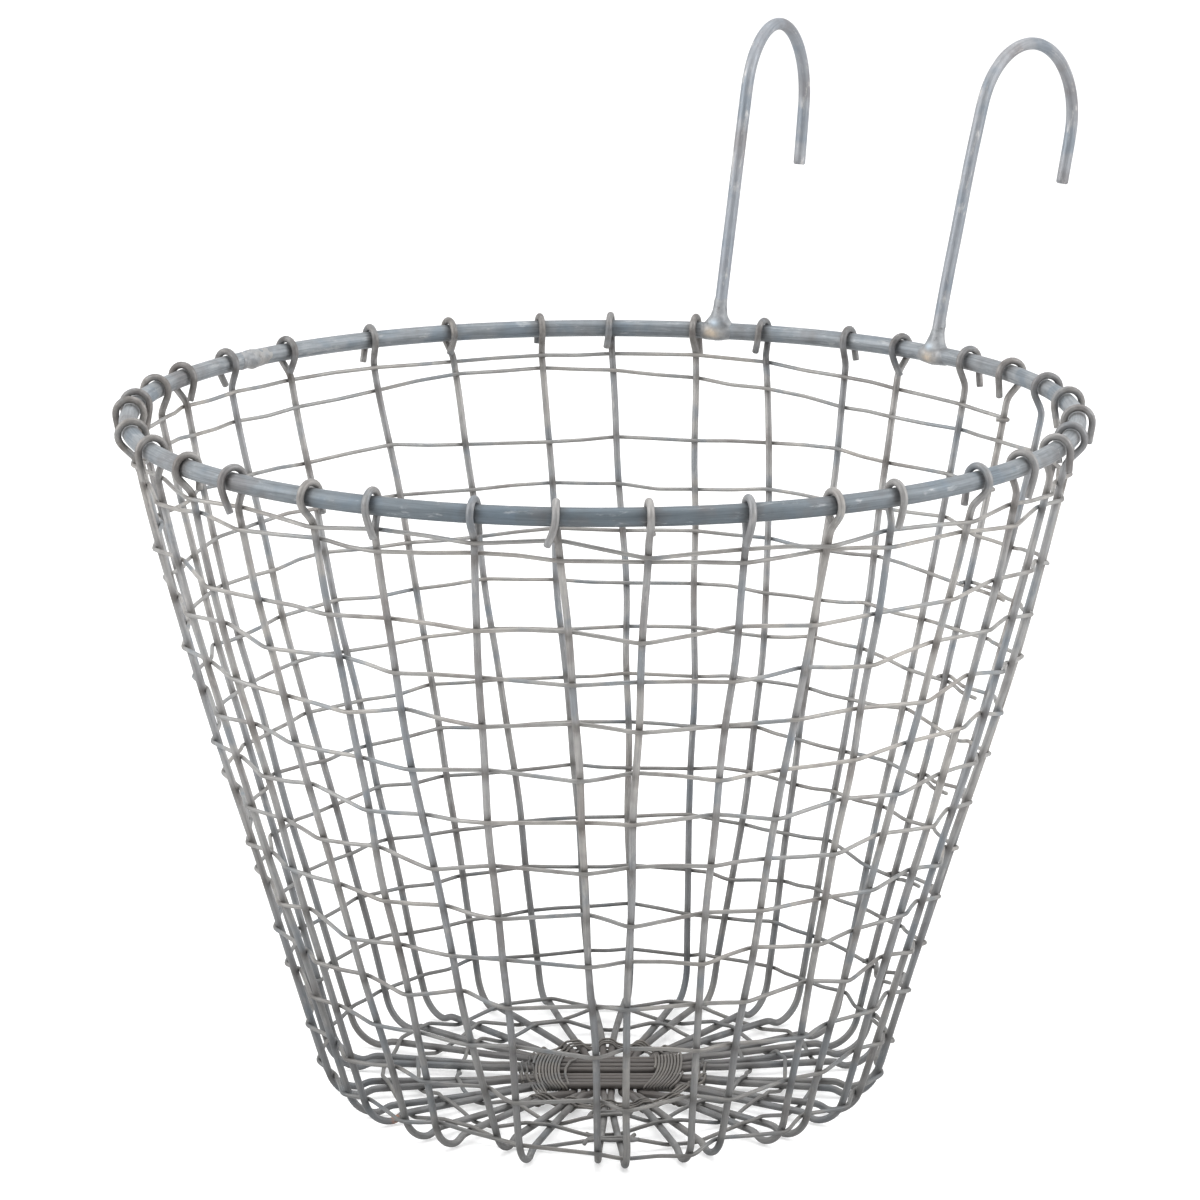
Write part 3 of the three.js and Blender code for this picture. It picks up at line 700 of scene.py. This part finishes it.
def hook_line(side, bend, turn, tail, bow):
    """A hook's rod in its own upright plane: a leaning shank, a round bend and a straight end."""
    outward = polar(1, BACK + side * HOOK_TOE)
    foot = on_ring(HOOK_PLACES[side])
    toe = foot + UP * (HOOK_FOOT - HOOK_TOE_RISE)
    rise = 90 - HOOK_LEAN
    shank = raised(outward, rise) * HOOK_SHANK
    line = [foot + UP * (HOOK_FOOT - HOOK_SUNK)]
    for share in np.linspace(0.06, 0.94, 10):
        sway = (drift(400 + side, share * 3, 0.5) + bow) * math.sin(math.pi * share)
        line.append(toe + shank * share + outward * sway)
    centre = toe + shank + raised(outward, rise - 90) * bend
    line += [centre + raised(outward, way + 90) * bend for way in np.linspace(rise, rise - turn, 40)]
    end = line[-1]
    line += [end + raised(outward, rise - turn) * tail * share for share in (0.3, 0.6, 1.0)]
    return smoothed(line, step=1.2, soften=2.0)


# Drawing a wire


def new_object(name, data):
    made = bpy.data.objects.new(name, data)
    bpy.context.scene.collection.objects.link(made)
    return made


def settled(piece):
    """A piece's mesh as its modifiers leave it. It takes the old mesh's place, and the modifiers come off."""
    source = piece.data
    evaluated = piece.evaluated_get(bpy.context.evaluated_depsgraph_get())
    mesh = bpy.data.meshes.new_from_object(evaluated)
    piece.modifiers.clear()
    piece.data = mesh
    bpy.data.meshes.remove(source)
    mesh.name = piece.name
    return mesh


def feed(tree, node, inputs):
    """Gives each of a node's inputs a value, or links it to the output that is to fill it."""
    for name, value in inputs.items():
        if isinstance(value, bpy.types.NodeSocket):
            tree.links.new(value, node.inputs[name])
        else:
            node.inputs[name].default_value = value


def new_node(tree, kind, inputs=None, **settings):
    made = tree.nodes.new(kind)
    for name, value in settings.items():
        setattr(made, name, value)
    feed(tree, made, inputs or {})
    return made


def captured(tree, geometry, kind, name, value):
    """Keeps a value on the points of a curve, so that it can be read after the sweep."""
    node = new_node(tree, "GeometryNodeCaptureAttribute", domain="POINT")
    node.capture_items.new(kind, name)
    feed(tree, node, {"Geometry": geometry, name: value})
    return node.outputs["Geometry"], node.outputs[name]


def wire_tree():
    """Sweeps a round section along a line, and keeps how far along and round each point is for the finish."""
    tree = bpy.data.node_groups.new("drawn_wire", "GeometryNodeTree")
    for name, kind in (("Line", "Geometry"), ("Radius", "Float"), ("Sides", "Int"), ("Finish", "Material")):
        tree.interface.new_socket(name, in_out="INPUT", socket_type="NodeSocket" + kind)
    tree.interface.new_socket("Wire", in_out="OUTPUT", socket_type="NodeSocketGeometry")

    def output(name, kind, inputs=None, **settings):
        return new_node(tree, kind, inputs, **settings).outputs[name]

    given = new_node(tree, "NodeGroupInput").outputs
    girth = output("Attribute", "GeometryNodeInputNamedAttribute", {"Name": "girth"}, data_type="FLOAT")
    curve = output("Curve", "GeometryNodeMeshToCurve", {"Mesh": given["Line"]})
    path, along = captured(tree, curve, "FLOAT", "Along", output("Length", "GeometryNodeSplineParameter"))
    size = {"Resolution": given["Sides"], "Radius": given["Radius"]}
    circle = output("Curve", "GeometryNodeCurvePrimitiveCircle", size)
    place = output("Position", "GeometryNodeInputPosition")
    section, around = captured(tree, circle, "VECTOR", "Round", place)
    sweep = {"Curve": path, "Profile Curve": section, "Scale": girth, "Fill Caps": True}
    wire = output("Mesh", "GeometryNodeCurveToMesh", sweep)
    across = new_node(tree, "ShaderNodeSeparateXYZ", {"Vector": around}).outputs
    grain = output("Vector", "ShaderNodeCombineXYZ", {"X": along, "Y": across["X"], "Z": across["Y"]})
    kept = {"Geometry": wire, "Name": "grain", "Value": grain}
    kind = {"data_type": "FLOAT_VECTOR", "domain": "POINT"}
    stored = output("Geometry", "GeometryNodeStoreNamedAttribute", kept, **kind)
    whole = output("Geometry", "GeometryNodeRealizeInstances", {"Geometry": stored})
    coated = output("Geometry", "GeometryNodeSetMaterial", {"Geometry": whole, "Material": given["Finish"]})
    new_node(tree, "NodeGroupOutput", {"Wire": coated})
    return tree


DRAWN_WIRE = wire_tree()


def nearness(line, places, reach):
    """How near each point of a line is to the closest of some places, from 0 to 1."""
    near = np.zeros(len(line))
    if places is None:
        return near
    batch = 400
    for start in range(0, len(line), batch):
        part = line[start : start + batch]
        away = np.linalg.norm(part[:, None, :] - places[None, :, :], axis=2).min(axis=1)
        near[start : start + batch] = np.exp(-((away / reach) ** 2))
    return near


def towards_back(line, turned):
    """How far each point lies towards the back, as it is seen, as a share of the ring's radius."""
    back = polar(1, BACK if turned else BACK + WEAVE_TURN)
    return line @ back / RING_RADIUS


def wire_tone_and_shade(name, line, turned):
    """A slow change of colour along a wire, which no two wires share. Wires at the back are a little cooler,
    and the low ones on the left are cooler and darker, which is painted shade."""
    seed = sum(name.encode()) % 97
    wander = np.array([drift(seed, i * 0.016, 1.0) for i in range(len(line))])
    low = 1 - line[:, 2] / RING_HEIGHT
    left = np.maximum(line @ polar(1, LEFT) / RING_RADIUS, 0)
    return wander - 0.08 * towards_back(line, turned) - 0.5 * low * left


def ring_painted_shade(name, line, turned):
    """Painted shade and light: the ring is darkest in front and palest at its two ends."""
    back = towards_back(line, turned)
    return 0.4 * (1 - back ** 2) - 0.5 * np.maximum(-back, 0) ** 2


def crossing_darkening(line, crossings):
    """Darker where wires cross."""
    return 0.85 * nearness(line, crossings, DARKENING_REACH)


def stake_darkening(line, crossings):
    """Darker where wires cross and on the crooks over the ring, least in front, most at the back and left."""
    height = np.clip((line[:, 2] - NECK_HEIGHT + 4) / 8, 0, 1)
    x, y = line[:, 0] / RING_RADIUS, line[:, 1] / RING_RADIUS
    crook = 0.8 * height * np.clip(0.75 + 0.4 * y - 0.35 * np.minimum(x, 0), 0, 1.1)
    return np.minimum(crossing_darkening(line, crossings) + crook, 1)


def with_cut_ends(line, bite):
    """Adds a point close to each end, so that only the very end is narrowed."""
    first = line[0] + unit(line[1] - line[0]) * bite
    last = line[-1] + unit(line[-2] - line[-1]) * bite
    return np.concatenate([line[:1], [first], line[1:-1], [last], line[-1:]])


def route_mesh(name, lines, closed, measures):
    """The lines as edges, with the values that the sweep and the finish read at each point."""
    edges = []
    start = 0
    for line in lines:
        edges += [(start + i, start + i + 1) for i in range(len(line) - 1)]
        if closed:
            edges.append((start + len(line) - 1, start))
        start += len(line)
    route = bpy.data.meshes.new(name + "_route")
    route.from_pydata((np.concatenate(lines) * MM).tolist(), edges, [])
    for label, measure in measures.items():
        values = np.concatenate([measure(line) for line in lines]).astype(np.float32)
        route.attributes.new(label, "FLOAT", "POINT").data.foreach_set("value", values)
    return route


def draw_wire(name, lines, diameter, sides, finish, crossings=None, welds=None, closed=False, turned=True,
              tone_and_shade=wire_tone_and_shade, darkening=crossing_darkening):
    """A piece made of one or more wires that follow the lines given."""
    if not closed:
        lines = [with_cut_ends(line, diameter * CUT_BEVEL) for line in lines]

    def girth(line):
        share = np.ones(len(line))
        if not closed:
            share[0] = share[-1] = CUT_GIRTH
        return share

    route = route_mesh(name, lines, closed, {
        "girth": girth,
        "darkening": lambda line: darkening(line, crossings),
        "heat": lambda line: nearness(line, welds, WELD_HEAT_REACH),
        "tone_and_shade": lambda line: tone_and_shade(name, line, turned),
    })
    piece = new_object(name, route)
    modifier = piece.modifiers.new("wire", "NODES")
    modifier.node_group = DRAWN_WIRE
    settings = {"Radius": diameter / 2 * MM, "Sides": sides, "Finish": finish}
    for item in DRAWN_WIRE.interface.items_tree:
        if item.in_out == "INPUT" and item.name in settings:
            modifier[item.identifier] = settings[item.name]
    mesh = settled(piece)
    if turned:
        mesh.transform(TURN_OF_WEAVE)
    mesh.shade_smooth()
    mesh.set_sharp_from_angle(angle=math.radians(50))
    return piece


# The finishes


def linear(red, green, blue):
    """A colour given as it looks on a screen, from 0 to 255, as the light it stands for."""
    return tuple(((part / 255 + 0.055) / 1.055) ** 2.4 for part in (red, green, blue))


def shaded(colour, share):
    return tuple(part * share for part in colour)


BROWN_PATCH = linear(118, 108, 104)
BLUE_PATCH = linear(112, 128, 142)
BURNT_ZINC = linear(150, 142, 142)
DARKENING_COLOUR = linear(78, 72, 67)
BROWN_STAIN = linear(92, 78, 69)
# Darker towards the foot: partly dirt, partly painted shade
LOW_GRIME_AND_SHADE = linear(78, 79, 79)
RUST = linear(196, 118, 58)
WELD_GREYS = linear(126, 129, 132), linear(158, 160, 162)
WELD_PIT = linear(104, 100, 100)
WELD_PEACH = linear(206, 190, 170)
# A painted highlight
WELD_GLINT = linear(192, 206, 218)


def on_part(spot):
    """A point of the weave's own frame as a place of the part, in metres."""
    return TURN_OF_WEAVE @ Vector(spot) * MM


# Rust spots on the weave, each with its reach. Reaches are in metres, as every size in a material is
RUST_SPOTS = [
    (on_part(point(-69.0, -46.0, 2.0)), 0.0026),
    (on_part(point(3.0, -44.0, 2.6)), 0.0022),
]
STAIN_REACH = 0.024, 0.05
# How high the dirt and painted shade at the foot reach, in metres
GRIME_AND_SHADE_HEIGHT = 0.13
STREAK_STRETCH = 60, 1700, 1700
SCUFF_STRETCH = 110, 420, 420


class Shader:
    """A material under construction, with short ways to add what the finishes share."""

    def __init__(self, name):
        self.material = bpy.data.materials.new(name)
        self.material.use_nodes = True
        self.tree = self.material.node_tree
        self.surface = self.tree.nodes["Principled BSDF"]
        self.place = self.node("ShaderNodeTexCoord").outputs["Object"]

    def node(self, kind, inputs=None, **settings):
        return new_node(self.tree, kind, inputs, **settings)

    def coat(self, inputs):
        feed(self.tree, self.surface, inputs)

    def attribute(self, name, output="Fac"):
        return self.node("ShaderNodeAttribute", attribute_name=name).outputs[output]

    def noise(self, where, scale, detail=3.0, rough=0.55, stretch=None):
        if stretch is not None:
            where = self.node("ShaderNodeMapping", {"Vector": where, "Scale": stretch}).outputs["Vector"]
        inputs = {"Vector": where, "Scale": scale, "Detail": detail, "Roughness": rough}
        return self.node("ShaderNodeTexNoise", inputs).outputs["Fac"]

    def distance(self, spot):
        made = self.node("ShaderNodeVectorMath", {0: self.place, 1: spot}, operation="DISTANCE")
        return made.outputs["Value"]

    def ramp(self, source, low, high, start=0.0, end=1.0):
        inputs = {"Value": source, "From Min": low, "From Max": high, "To Min": start, "To Max": end}
        return self.node("ShaderNodeMapRange", inputs, clamp=True).outputs["Result"]

    def times(self, one, other):
        return self.node("ShaderNodeMath", {0: one, 1: other}, operation="MULTIPLY").outputs[0]

    def mixed(self, share, one, other):
        one, other = [(*colour, 1.0) if isinstance(colour, tuple) else colour for colour in (one, other)]
        return self.node("ShaderNodeMix", {0: share, 6: one, 7: other}, data_type="RGBA").outputs[2]

    def layered(self, base, layers):
        """A colour with others laid over it, each by its own share."""
        for share, colour in layers:
            base = self.mixed(share, base, colour)
        return base

    def bump(self, heights, strength, depth):
        made = self.node("ShaderNodeBump", {"Height": heights, "Strength": strength, "Distance": depth})
        return made.outputs["Normal"]


def zinc(name, warm, cool, scuff, scuffed, streaked, stain, rough):
    """Zinc coat on drawn wire, from warm to cool, with streaks along it and darker marks where wires cross.
    """
    shader = Shader(name)
    place = shader.place
    grain = shader.attribute("grain", "Vector")
    patches = shader.noise(place, 55, 3.0, 0.6)
    clouds = shader.ramp(shader.noise(place, 240, 5.0, 0.62), 0.3, 0.7)
    streaks = shader.ramp(shader.noise(grain, 1.0, 4.0, 0.6, STREAK_STRETCH), 0.42, 0.66)
    scuffs = shader.noise(grain, 1.0, 5.0, 0.66, SCUFF_STRETCH)
    burnt = shader.times(shader.attribute("heat"), shader.ramp(shader.noise(place, 210), 0.3, 0.6))
    darkened = shader.times(shader.attribute("darkening"), shader.ramp(shader.noise(place, 260), 0.3, 0.7, 0.3, 0.9))
    stained = shader.ramp(shader.distance(on_part(CROSSING)), *STAIN_REACH, stain, 0.0)
    height = shader.node("ShaderNodeSeparateXYZ", {"Vector": place}).outputs["Z"]
    layers = [
        (shader.ramp(patches, 0.52, 0.66, 0.0, 0.5), BROWN_PATCH),
        (shader.ramp(patches, 0.46, 0.36, 0.0, 0.5), BLUE_PATCH),
        (shader.times(clouds, 0.36), shaded(cool, 0.6)),
        (shader.times(streaks, streaked), shaded(cool, 0.45)),
        (shader.ramp(scuffs, 0.58, 0.7, 0.0, scuffed), scuff),
        (shader.times(burnt, 0.6), BURNT_ZINC),
        (darkened, DARKENING_COLOUR),
        (stained, BROWN_STAIN),
        # Darker towards the foot: partly dirt, partly painted shade where less light reaches
        (shader.ramp(height, 0.0, GRIME_AND_SHADE_HEIGHT, 0.62, 0.0), LOW_GRIME_AND_SHADE),
    ]
    for spot, reach in RUST_SPOTS:
        near = shader.ramp(shader.distance(spot), reach * 0.4, reach, 0.85, 0.0)
        layers.append((shader.times(near, shader.ramp(shader.noise(place, 420), 0.38, 0.56)), RUST))
    # The tone carries painted shade: the ring's dark front and pale ends, and the wires' darker low left.
    base = shader.mixed(shader.ramp(shader.attribute("tone_and_shade"), -0.5, 0.5), cool, warm)
    shader.coat({
        "Base Color": shader.layered(base, layers),
        "Roughness": shader.ramp(clouds, 0.0, 1.0, rough + 0.1, rough - 0.06),
        "Metallic": 0.45,
        "Normal": shader.bump(shader.noise(place, 900, 4.0, 0.6), 0.5, 0.0001),
    })
    return shader.material


def weld_metal():
    """A weld bead: grey and bare, with a painted blue-white glint near the rod and a peach heat tint on its
    face.
    """
    shader = Shader("weld_bead")
    place = shader.place
    clouds = shader.ramp(shader.noise(place, 260, 5.0, 0.6), 0.35, 0.65)
    patchy = shader.ramp(shader.noise(place, 300, 4.0), 0.36, 0.6, 0.2, 0.9)
    layers = [
        (shader.ramp(shader.noise(place, 420, 5.0), 0.58, 0.7, 0.0, 0.55), WELD_PIT),
        (shader.times(shader.attribute("tint"), patchy), WELD_PEACH),
        (shader.times(shader.attribute("glint"), 0.7), WELD_GLINT),
    ]
    shader.coat({
        "Base Color": shader.layered(shader.mixed(clouds, *WELD_GREYS), layers),
        "Roughness": shader.ramp(clouds, 0.0, 1.0, 0.42, 0.58),
        "Metallic": 0.4,
        "Normal": shader.bump(shader.noise(place, 650, 5.0, 0.65), 0.45, 0.00015),
    })
    return shader.material


RING_ZINC = zinc(
    "ring_zinc_coat", warm=linear(170, 173, 176), cool=linear(106, 116, 123), scuff=linear(192, 194, 195),
    scuffed=0.5, streaked=0.42, stain=0.0, rough=0.5,
)
HOOK_ZINC = zinc(
    "hook_zinc_coat", warm=linear(168, 168, 170), cool=linear(148, 154, 162), scuff=linear(208, 205, 202),
    scuffed=0.7, streaked=0.32, stain=0.0, rough=0.5,
)
STAKE_ZINC = zinc(
    "stake_zinc_coat", warm=linear(185, 181, 176), cool=linear(157, 159, 162), scuff=linear(204, 201, 197),
    scuffed=0.4, streaked=0.4, stain=0.85, rough=0.52,
)
WEAVER_ZINC = zinc(
    "weaver_zinc_coat", warm=linear(183, 178, 172), cool=linear(163, 163, 162), scuff=linear(200, 196, 190),
    scuffed=0.4, streaked=0.35, stain=0.3, rough=0.52,
)
LASHING = zinc(
    "lashing_wire_coat", warm=linear(178, 169, 158), cool=linear(154, 147, 140), scuff=linear(196, 190, 180),
    scuffed=0.3, streaked=0.3, stain=0.12, rough=0.54,
)
WELD = weld_metal()


# The welds


def blob_piece(name, shapes, colours, voxel, soften, rough):
    """Shapes melted into one bead: joined, remeshed, smoothed and roughened."""
    verts, faces = [], []
    for shape_verts, shape_faces in shapes:
        start = len(verts)
        verts += [tuple(vertex * MM) for vertex in shape_verts]
        faces += [tuple(start + i for i in face) for face in shape_faces]
    mesh = bpy.data.meshes.new(name)
    mesh.from_pydata(verts, [], faces)
    piece = new_object(name, mesh)
    remesh = piece.modifiers.new("melt", "REMESH")
    remesh.mode = "VOXEL"
    remesh.voxel_size = voxel * MM
    smooth = piece.modifiers.new("flow", "SMOOTH")
    smooth.factor = 0.5
    smooth.iterations = soften
    melted = settled(piece)
    normals = [vertex.normal.copy() for vertex in melted.vertices]
    for vertex, normal in zip(melted.vertices, normals):
        place = vertex.co / MM
        lump = noise.noise(place * 0.45) * rough + noise.noise(place * 1.3) * rough * 0.35
        vertex.co += normal * lump * MM
    shares = [colours(np.array(vertex.co) / MM) for vertex in melted.vertices]
    for label, values in zip(("tint", "glint"), zip(*shares)):
        melted.attributes.new(label, "FLOAT", "POINT").data.foreach_set("value", values)
    melted.materials.clear()
    melted.materials.append(WELD)
    melted.shade_smooth()
    return piece


def flare(sections, across, over, sides=28):
    """A closed body through oval sections, each given by its middle and its two half widths."""
    verts = []
    for centre, wide, deep in sections:
        for side in range(sides):
            turn = 2 * math.pi * side / sides
            verts.append(centre + across * wide * math.cos(turn) + over * deep * math.sin(turn))
    faces = [tuple(range(sides))[::-1], tuple(range(len(verts) - sides, len(verts)))]
    for start in range(0, len(verts) - sides, sides):
        for side in range(sides):
            following = start + (side + 1) % sides
            faces.append((start + side, following, following + sides, start + side + sides))
    return verts, faces


def ball(centre, axes, rings=16, sides=24):
    """An ellipsoid given by its middle and its three half axes."""
    tilts = np.linspace(0, math.pi, rings + 1)
    sections = [(centre + axes[2] * math.cos(tilt), math.sin(tilt), math.sin(tilt)) for tilt in tilts]
    return flare(sections, axes[0], axes[1], sides)


def hook_weld(name, side, lopsided):
    """A fillet that runs along the ring and narrows in a hollow curve up the rod."""
    angle = HOOK_PLACES[side]
    base = on_ring(angle)
    outward = polar(1, angle)
    around = polar(1, angle + 90)
    shank = raised(polar(1, BACK + side * HOOK_TOE), 90 - HOOK_LEAN)
    sections = []
    for height, wide, deep in FILLET:
        foot = min(height, HOOK_FOOT - HOOK_TOE_RISE)
        middle = base + UP * foot + shank * (height - foot) + around * lopsided * math.exp(-height / 2)
        sections.append((middle, wide, deep))
    saddle = ball(base + around * lopsided - UP * 0.1, (outward * 3.5, around * 10.5, UP * 3.4))

    def colours(place):
        along, inward, height = (place - base) @ around, (base - place) @ outward, (place - base) @ UP
        face = min(max((inward - 1.2) / 1.2, 0), 1)
        tint = face * math.exp(-(((along - lopsided * 2) / 3.0) ** 2) - ((height + 0.4) / 2.0) ** 2)
        # A painted highlight near the rod
        near_rod = math.exp(-((along - lopsided) / 1.7) ** 2 - ((height - 3.2) / 1.2) ** 2)
        glint = min(max(inward / 1.5, 0), 1) * near_rod
        return tint, glint

    shapes = [flare(sections, around, outward), saddle]
    return blob_piece(name, shapes, colours, voxel=0.3, soften=6, rough=0.2)


def seam_weld():
    """The butt weld of the ring: a rough sleeve of metal with a pit in it."""
    half = math.degrees(SEAM_LENGTH / 2 / RING_RADIUS)
    middle = SEAM_ANGLE + WEAVE_TURN + 0.8
    sections = []
    for share in np.linspace(-1, 1, 13):
        bulge = 0.25 * math.exp(-(((share - 0.12) / 0.2) ** 2)) - 0.3 * share ** 6
        reach = SEAM_REACH + drift(420, share * 3, 0.25) + bulge
        sections.append((on_ring(middle + half * share), reach, reach))

    def colours(place):
        return 0.1 + 0.2 * noise.noise(Vector(place) * 0.3), 0.0

    shapes = [flare(sections, polar(1, middle), UP)]
    piece = blob_piece("rim_seam_weld_bead", shapes, colours, voxel=0.35, soften=3, rough=0.25)
    pit = polar(RING_RADIUS - 1.3, middle - 1.0, RING_HEIGHT + 2.6) * MM
    for vertex in piece.data.vertices:
        away = (vertex.co - Vector(pit)).length / MM
        vertex.co -= vertex.normal * math.exp(-((away / 0.7) ** 2)) * 0.9 * MM
    return piece


# Making the pieces

stake_routes = stake_lines()
side_routes, side_crossings = side_lines()
base_routes, base_crossings = base_lines()
lash_routes = lashing_lines()
all_crossings = np.array(side_crossings + base_crossings)
stake_places = np.concatenate([line[line[:, 2] < HEEL_DROP] for line in stake_routes.values()])


def finished(piece, node):
    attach(piece, "root")
    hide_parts(node)


for node, line in stake_routes.items():
    piece = draw_wire(node + "_drawn", [line], STAKE_WIRE, STAKE_SIDES, STAKE_ZINC, all_crossings,
                      darkening=stake_darkening)
    finished(piece, node)
for node, line in {**side_routes, **base_routes}.items():
    piece = draw_wire(node + "_drawn", [line], WEAVER_WIRE, WEAVER_SIDES, WEAVER_ZINC, all_crossings)
    finished(piece, node)
for node, lines in lash_routes.items():
    bound = node.startswith("slath_binding")
    piece = draw_wire(node + "_drawn", lines, LASH_WIRE if bound else TWINE_WIRE, LASH_SIDES, LASHING,
                      None if bound else stake_places)
    finished(piece, node)

loop_places = np.array([on_ring(arm.ring_angle + WEAVE_TURN) for arm in ARMS])
weld_places = np.array([on_ring(place) for place in (*HOOK_PLACES.values(), SEAM_ANGLE + WEAVE_TURN)])
# The ring's tone is painted shade and light, darkest in front and palest at its ends.
piece = draw_wire("rim_ring_drawn", [ring_line()], RING_ROD, RING_SIDES, RING_ZINC, loop_places, weld_places,
                  closed=True, turned=False, tone_and_shade=ring_painted_shade)
finished(piece, "rim_ring")
for node, side, bend, turn, tail, bow in (
    ("hook_left", 1, 28.25, 173.5, 21.0, 0.0),
    ("hook_right", -1, 28.05, 178.0, 17.2, -0.8),
):
    line = hook_line(side, bend, turn, tail, bow)
    piece = draw_wire(node + "_drawn", [line], HOOK_ROD, HOOK_SIDES, HOOK_ZINC, turned=False)
    finished(piece, node)
for node, side, lopsided in (("hook_weld_left", 1, 0.9), ("hook_weld_right", -1, 0.4)):
    finished(hook_weld(node + "_bead", side, lopsided), node)
finished(seam_weld(), "rim_seam_weld")


# Floor, light and camera


def studio_floor():
    """Pale paper that takes the basket's shadow. The camera sees it nearly white."""
    size, height = 4.0, -0.0002
    corners = [(x * size, y * size, height) for x, y in ((-1, -1), (1, -1), (1, 1), (-1, 1))]
    mesh = bpy.data.meshes.new("studio_floor")
    mesh.from_pydata(corners, [], [(0, 1, 2, 3)])
    floor = new_object("studio_floor", mesh)
    shader = Shader("studio_floor_paper")
    seen = shader.node("ShaderNodeLightPath").outputs["Is Camera Ray"]
    shader.coat({"Roughness": 0.9, "Base Color": shader.mixed(seen, (0.72, 0.72, 0.72), (0.95, 0.95, 0.95))})
    glow = shader.node("ShaderNodeEmission", {"Strength": 1.55}).outputs[0]
    layers = {0: shader.times(seen, 0.24), 1: shader.surface.outputs[0], 2: glow}
    paper = shader.node("ShaderNodeMixShader", layers)
    feed(shader.tree, shader.tree.nodes["Material Output"], {"Surface": paper.outputs[0]})
    mesh.materials.append(shader.material)


def studio_sky():
    """Soft light from all round, less of it from the camera's side. The camera sees it as white."""
    world = bpy.data.worlds.new("studio")
    bpy.context.scene.world = world
    world.use_nodes = True
    tree = world.node_tree
    ray = new_node(tree, "ShaderNodeTexCoord").outputs["Generated"]
    to_camera = tuple(polar(1, FRONT + WEAVE_TURN))
    dot = new_node(tree, "ShaderNodeVectorMath", {0: ray, 1: to_camera}, operation="DOT_PRODUCT")
    facing = dot.outputs["Value"]
    limits = {"Value": facing, "From Min": 0.1, "From Max": 0.95, "To Min": 1.0, "To Max": 0.52}
    dimmed = new_node(tree, "ShaderNodeMapRange", limits, interpolation_type="SMOOTHSTEP")
    soft = tree.nodes["Background"]
    feed(tree, soft, {"Color": (0.99, 0.995, 1.0, 1.0), "Strength": dimmed.outputs["Result"]})
    white = new_node(tree, "ShaderNodeBackground", {"Color": (1.0, 1.0, 1.0, 1.0), "Strength": 1.0})
    seen = new_node(tree, "ShaderNodeLightPath").outputs["Is Camera Ray"]
    sky = new_node(tree, "ShaderNodeMixShader", {0: seen, 1: soft.outputs[0], 2: white.outputs[0]})
    feed(tree, tree.nodes["World Output"], {"Surface": sky.outputs[0]})


def studio_lamps():
    """Three soft boxes, each given by its turn from the camera, then its distance, height and size in metres,
    and its power."""
    for name, turn, away, height, size, power in (
        ("left_softbox", -74, 1.9, 1.3, 1.5, 28.0),
        ("right_softbox", 74, 2.0, 1.2, 1.4, 25.0),
        ("top_softbox", 160, 0.5, 2.3, 1.8, 18.0),
    ):
        lamp = bpy.data.lights.new(name, "AREA")
        lamp.size = size
        lamp.energy = power
        holder = new_object(name, lamp)
        holder.location = polar(away, FRONT + WEAVE_TURN + turn, height)
        aim = Vector((0.0, 0.0, 0.15)) - holder.location
        holder.rotation_euler = aim.to_track_quat("-Z", "Y").to_euler()


def camera():
    """The camera looks down at the basket from the front, a little to the right."""
    distance, rise = 1695.0, 11.42
    focal, width, sensor = 5173.0, 1200.0, 36.0
    drop, shift = 13.49, 2.75
    toward = polar(1, FRONT + WEAVE_TURN)
    right = polar(1, FRONT + WEAVE_TURN + 90)
    rim = point(0, 0, 229.35)
    place = rim + distance * raised(toward, rise)
    look = raised(-toward, -drop) - right * shift / focal
    data = bpy.data.cameras.new("photo_camera")
    data.sensor_width = sensor
    data.lens = focal / width * sensor
    data.clip_start = 0.05
    data.clip_end = 20.0
    holder = new_object("photo_camera", data)
    holder.location = Vector(place * MM)
    holder.rotation_euler = Vector(look).to_track_quat("-Z", "Y").to_euler()
    bpy.context.scene.camera = holder


studio_floor()
studio_sky()
studio_lamps()
camera()
bpy.context.scene.view_settings.view_transform = "Standard"
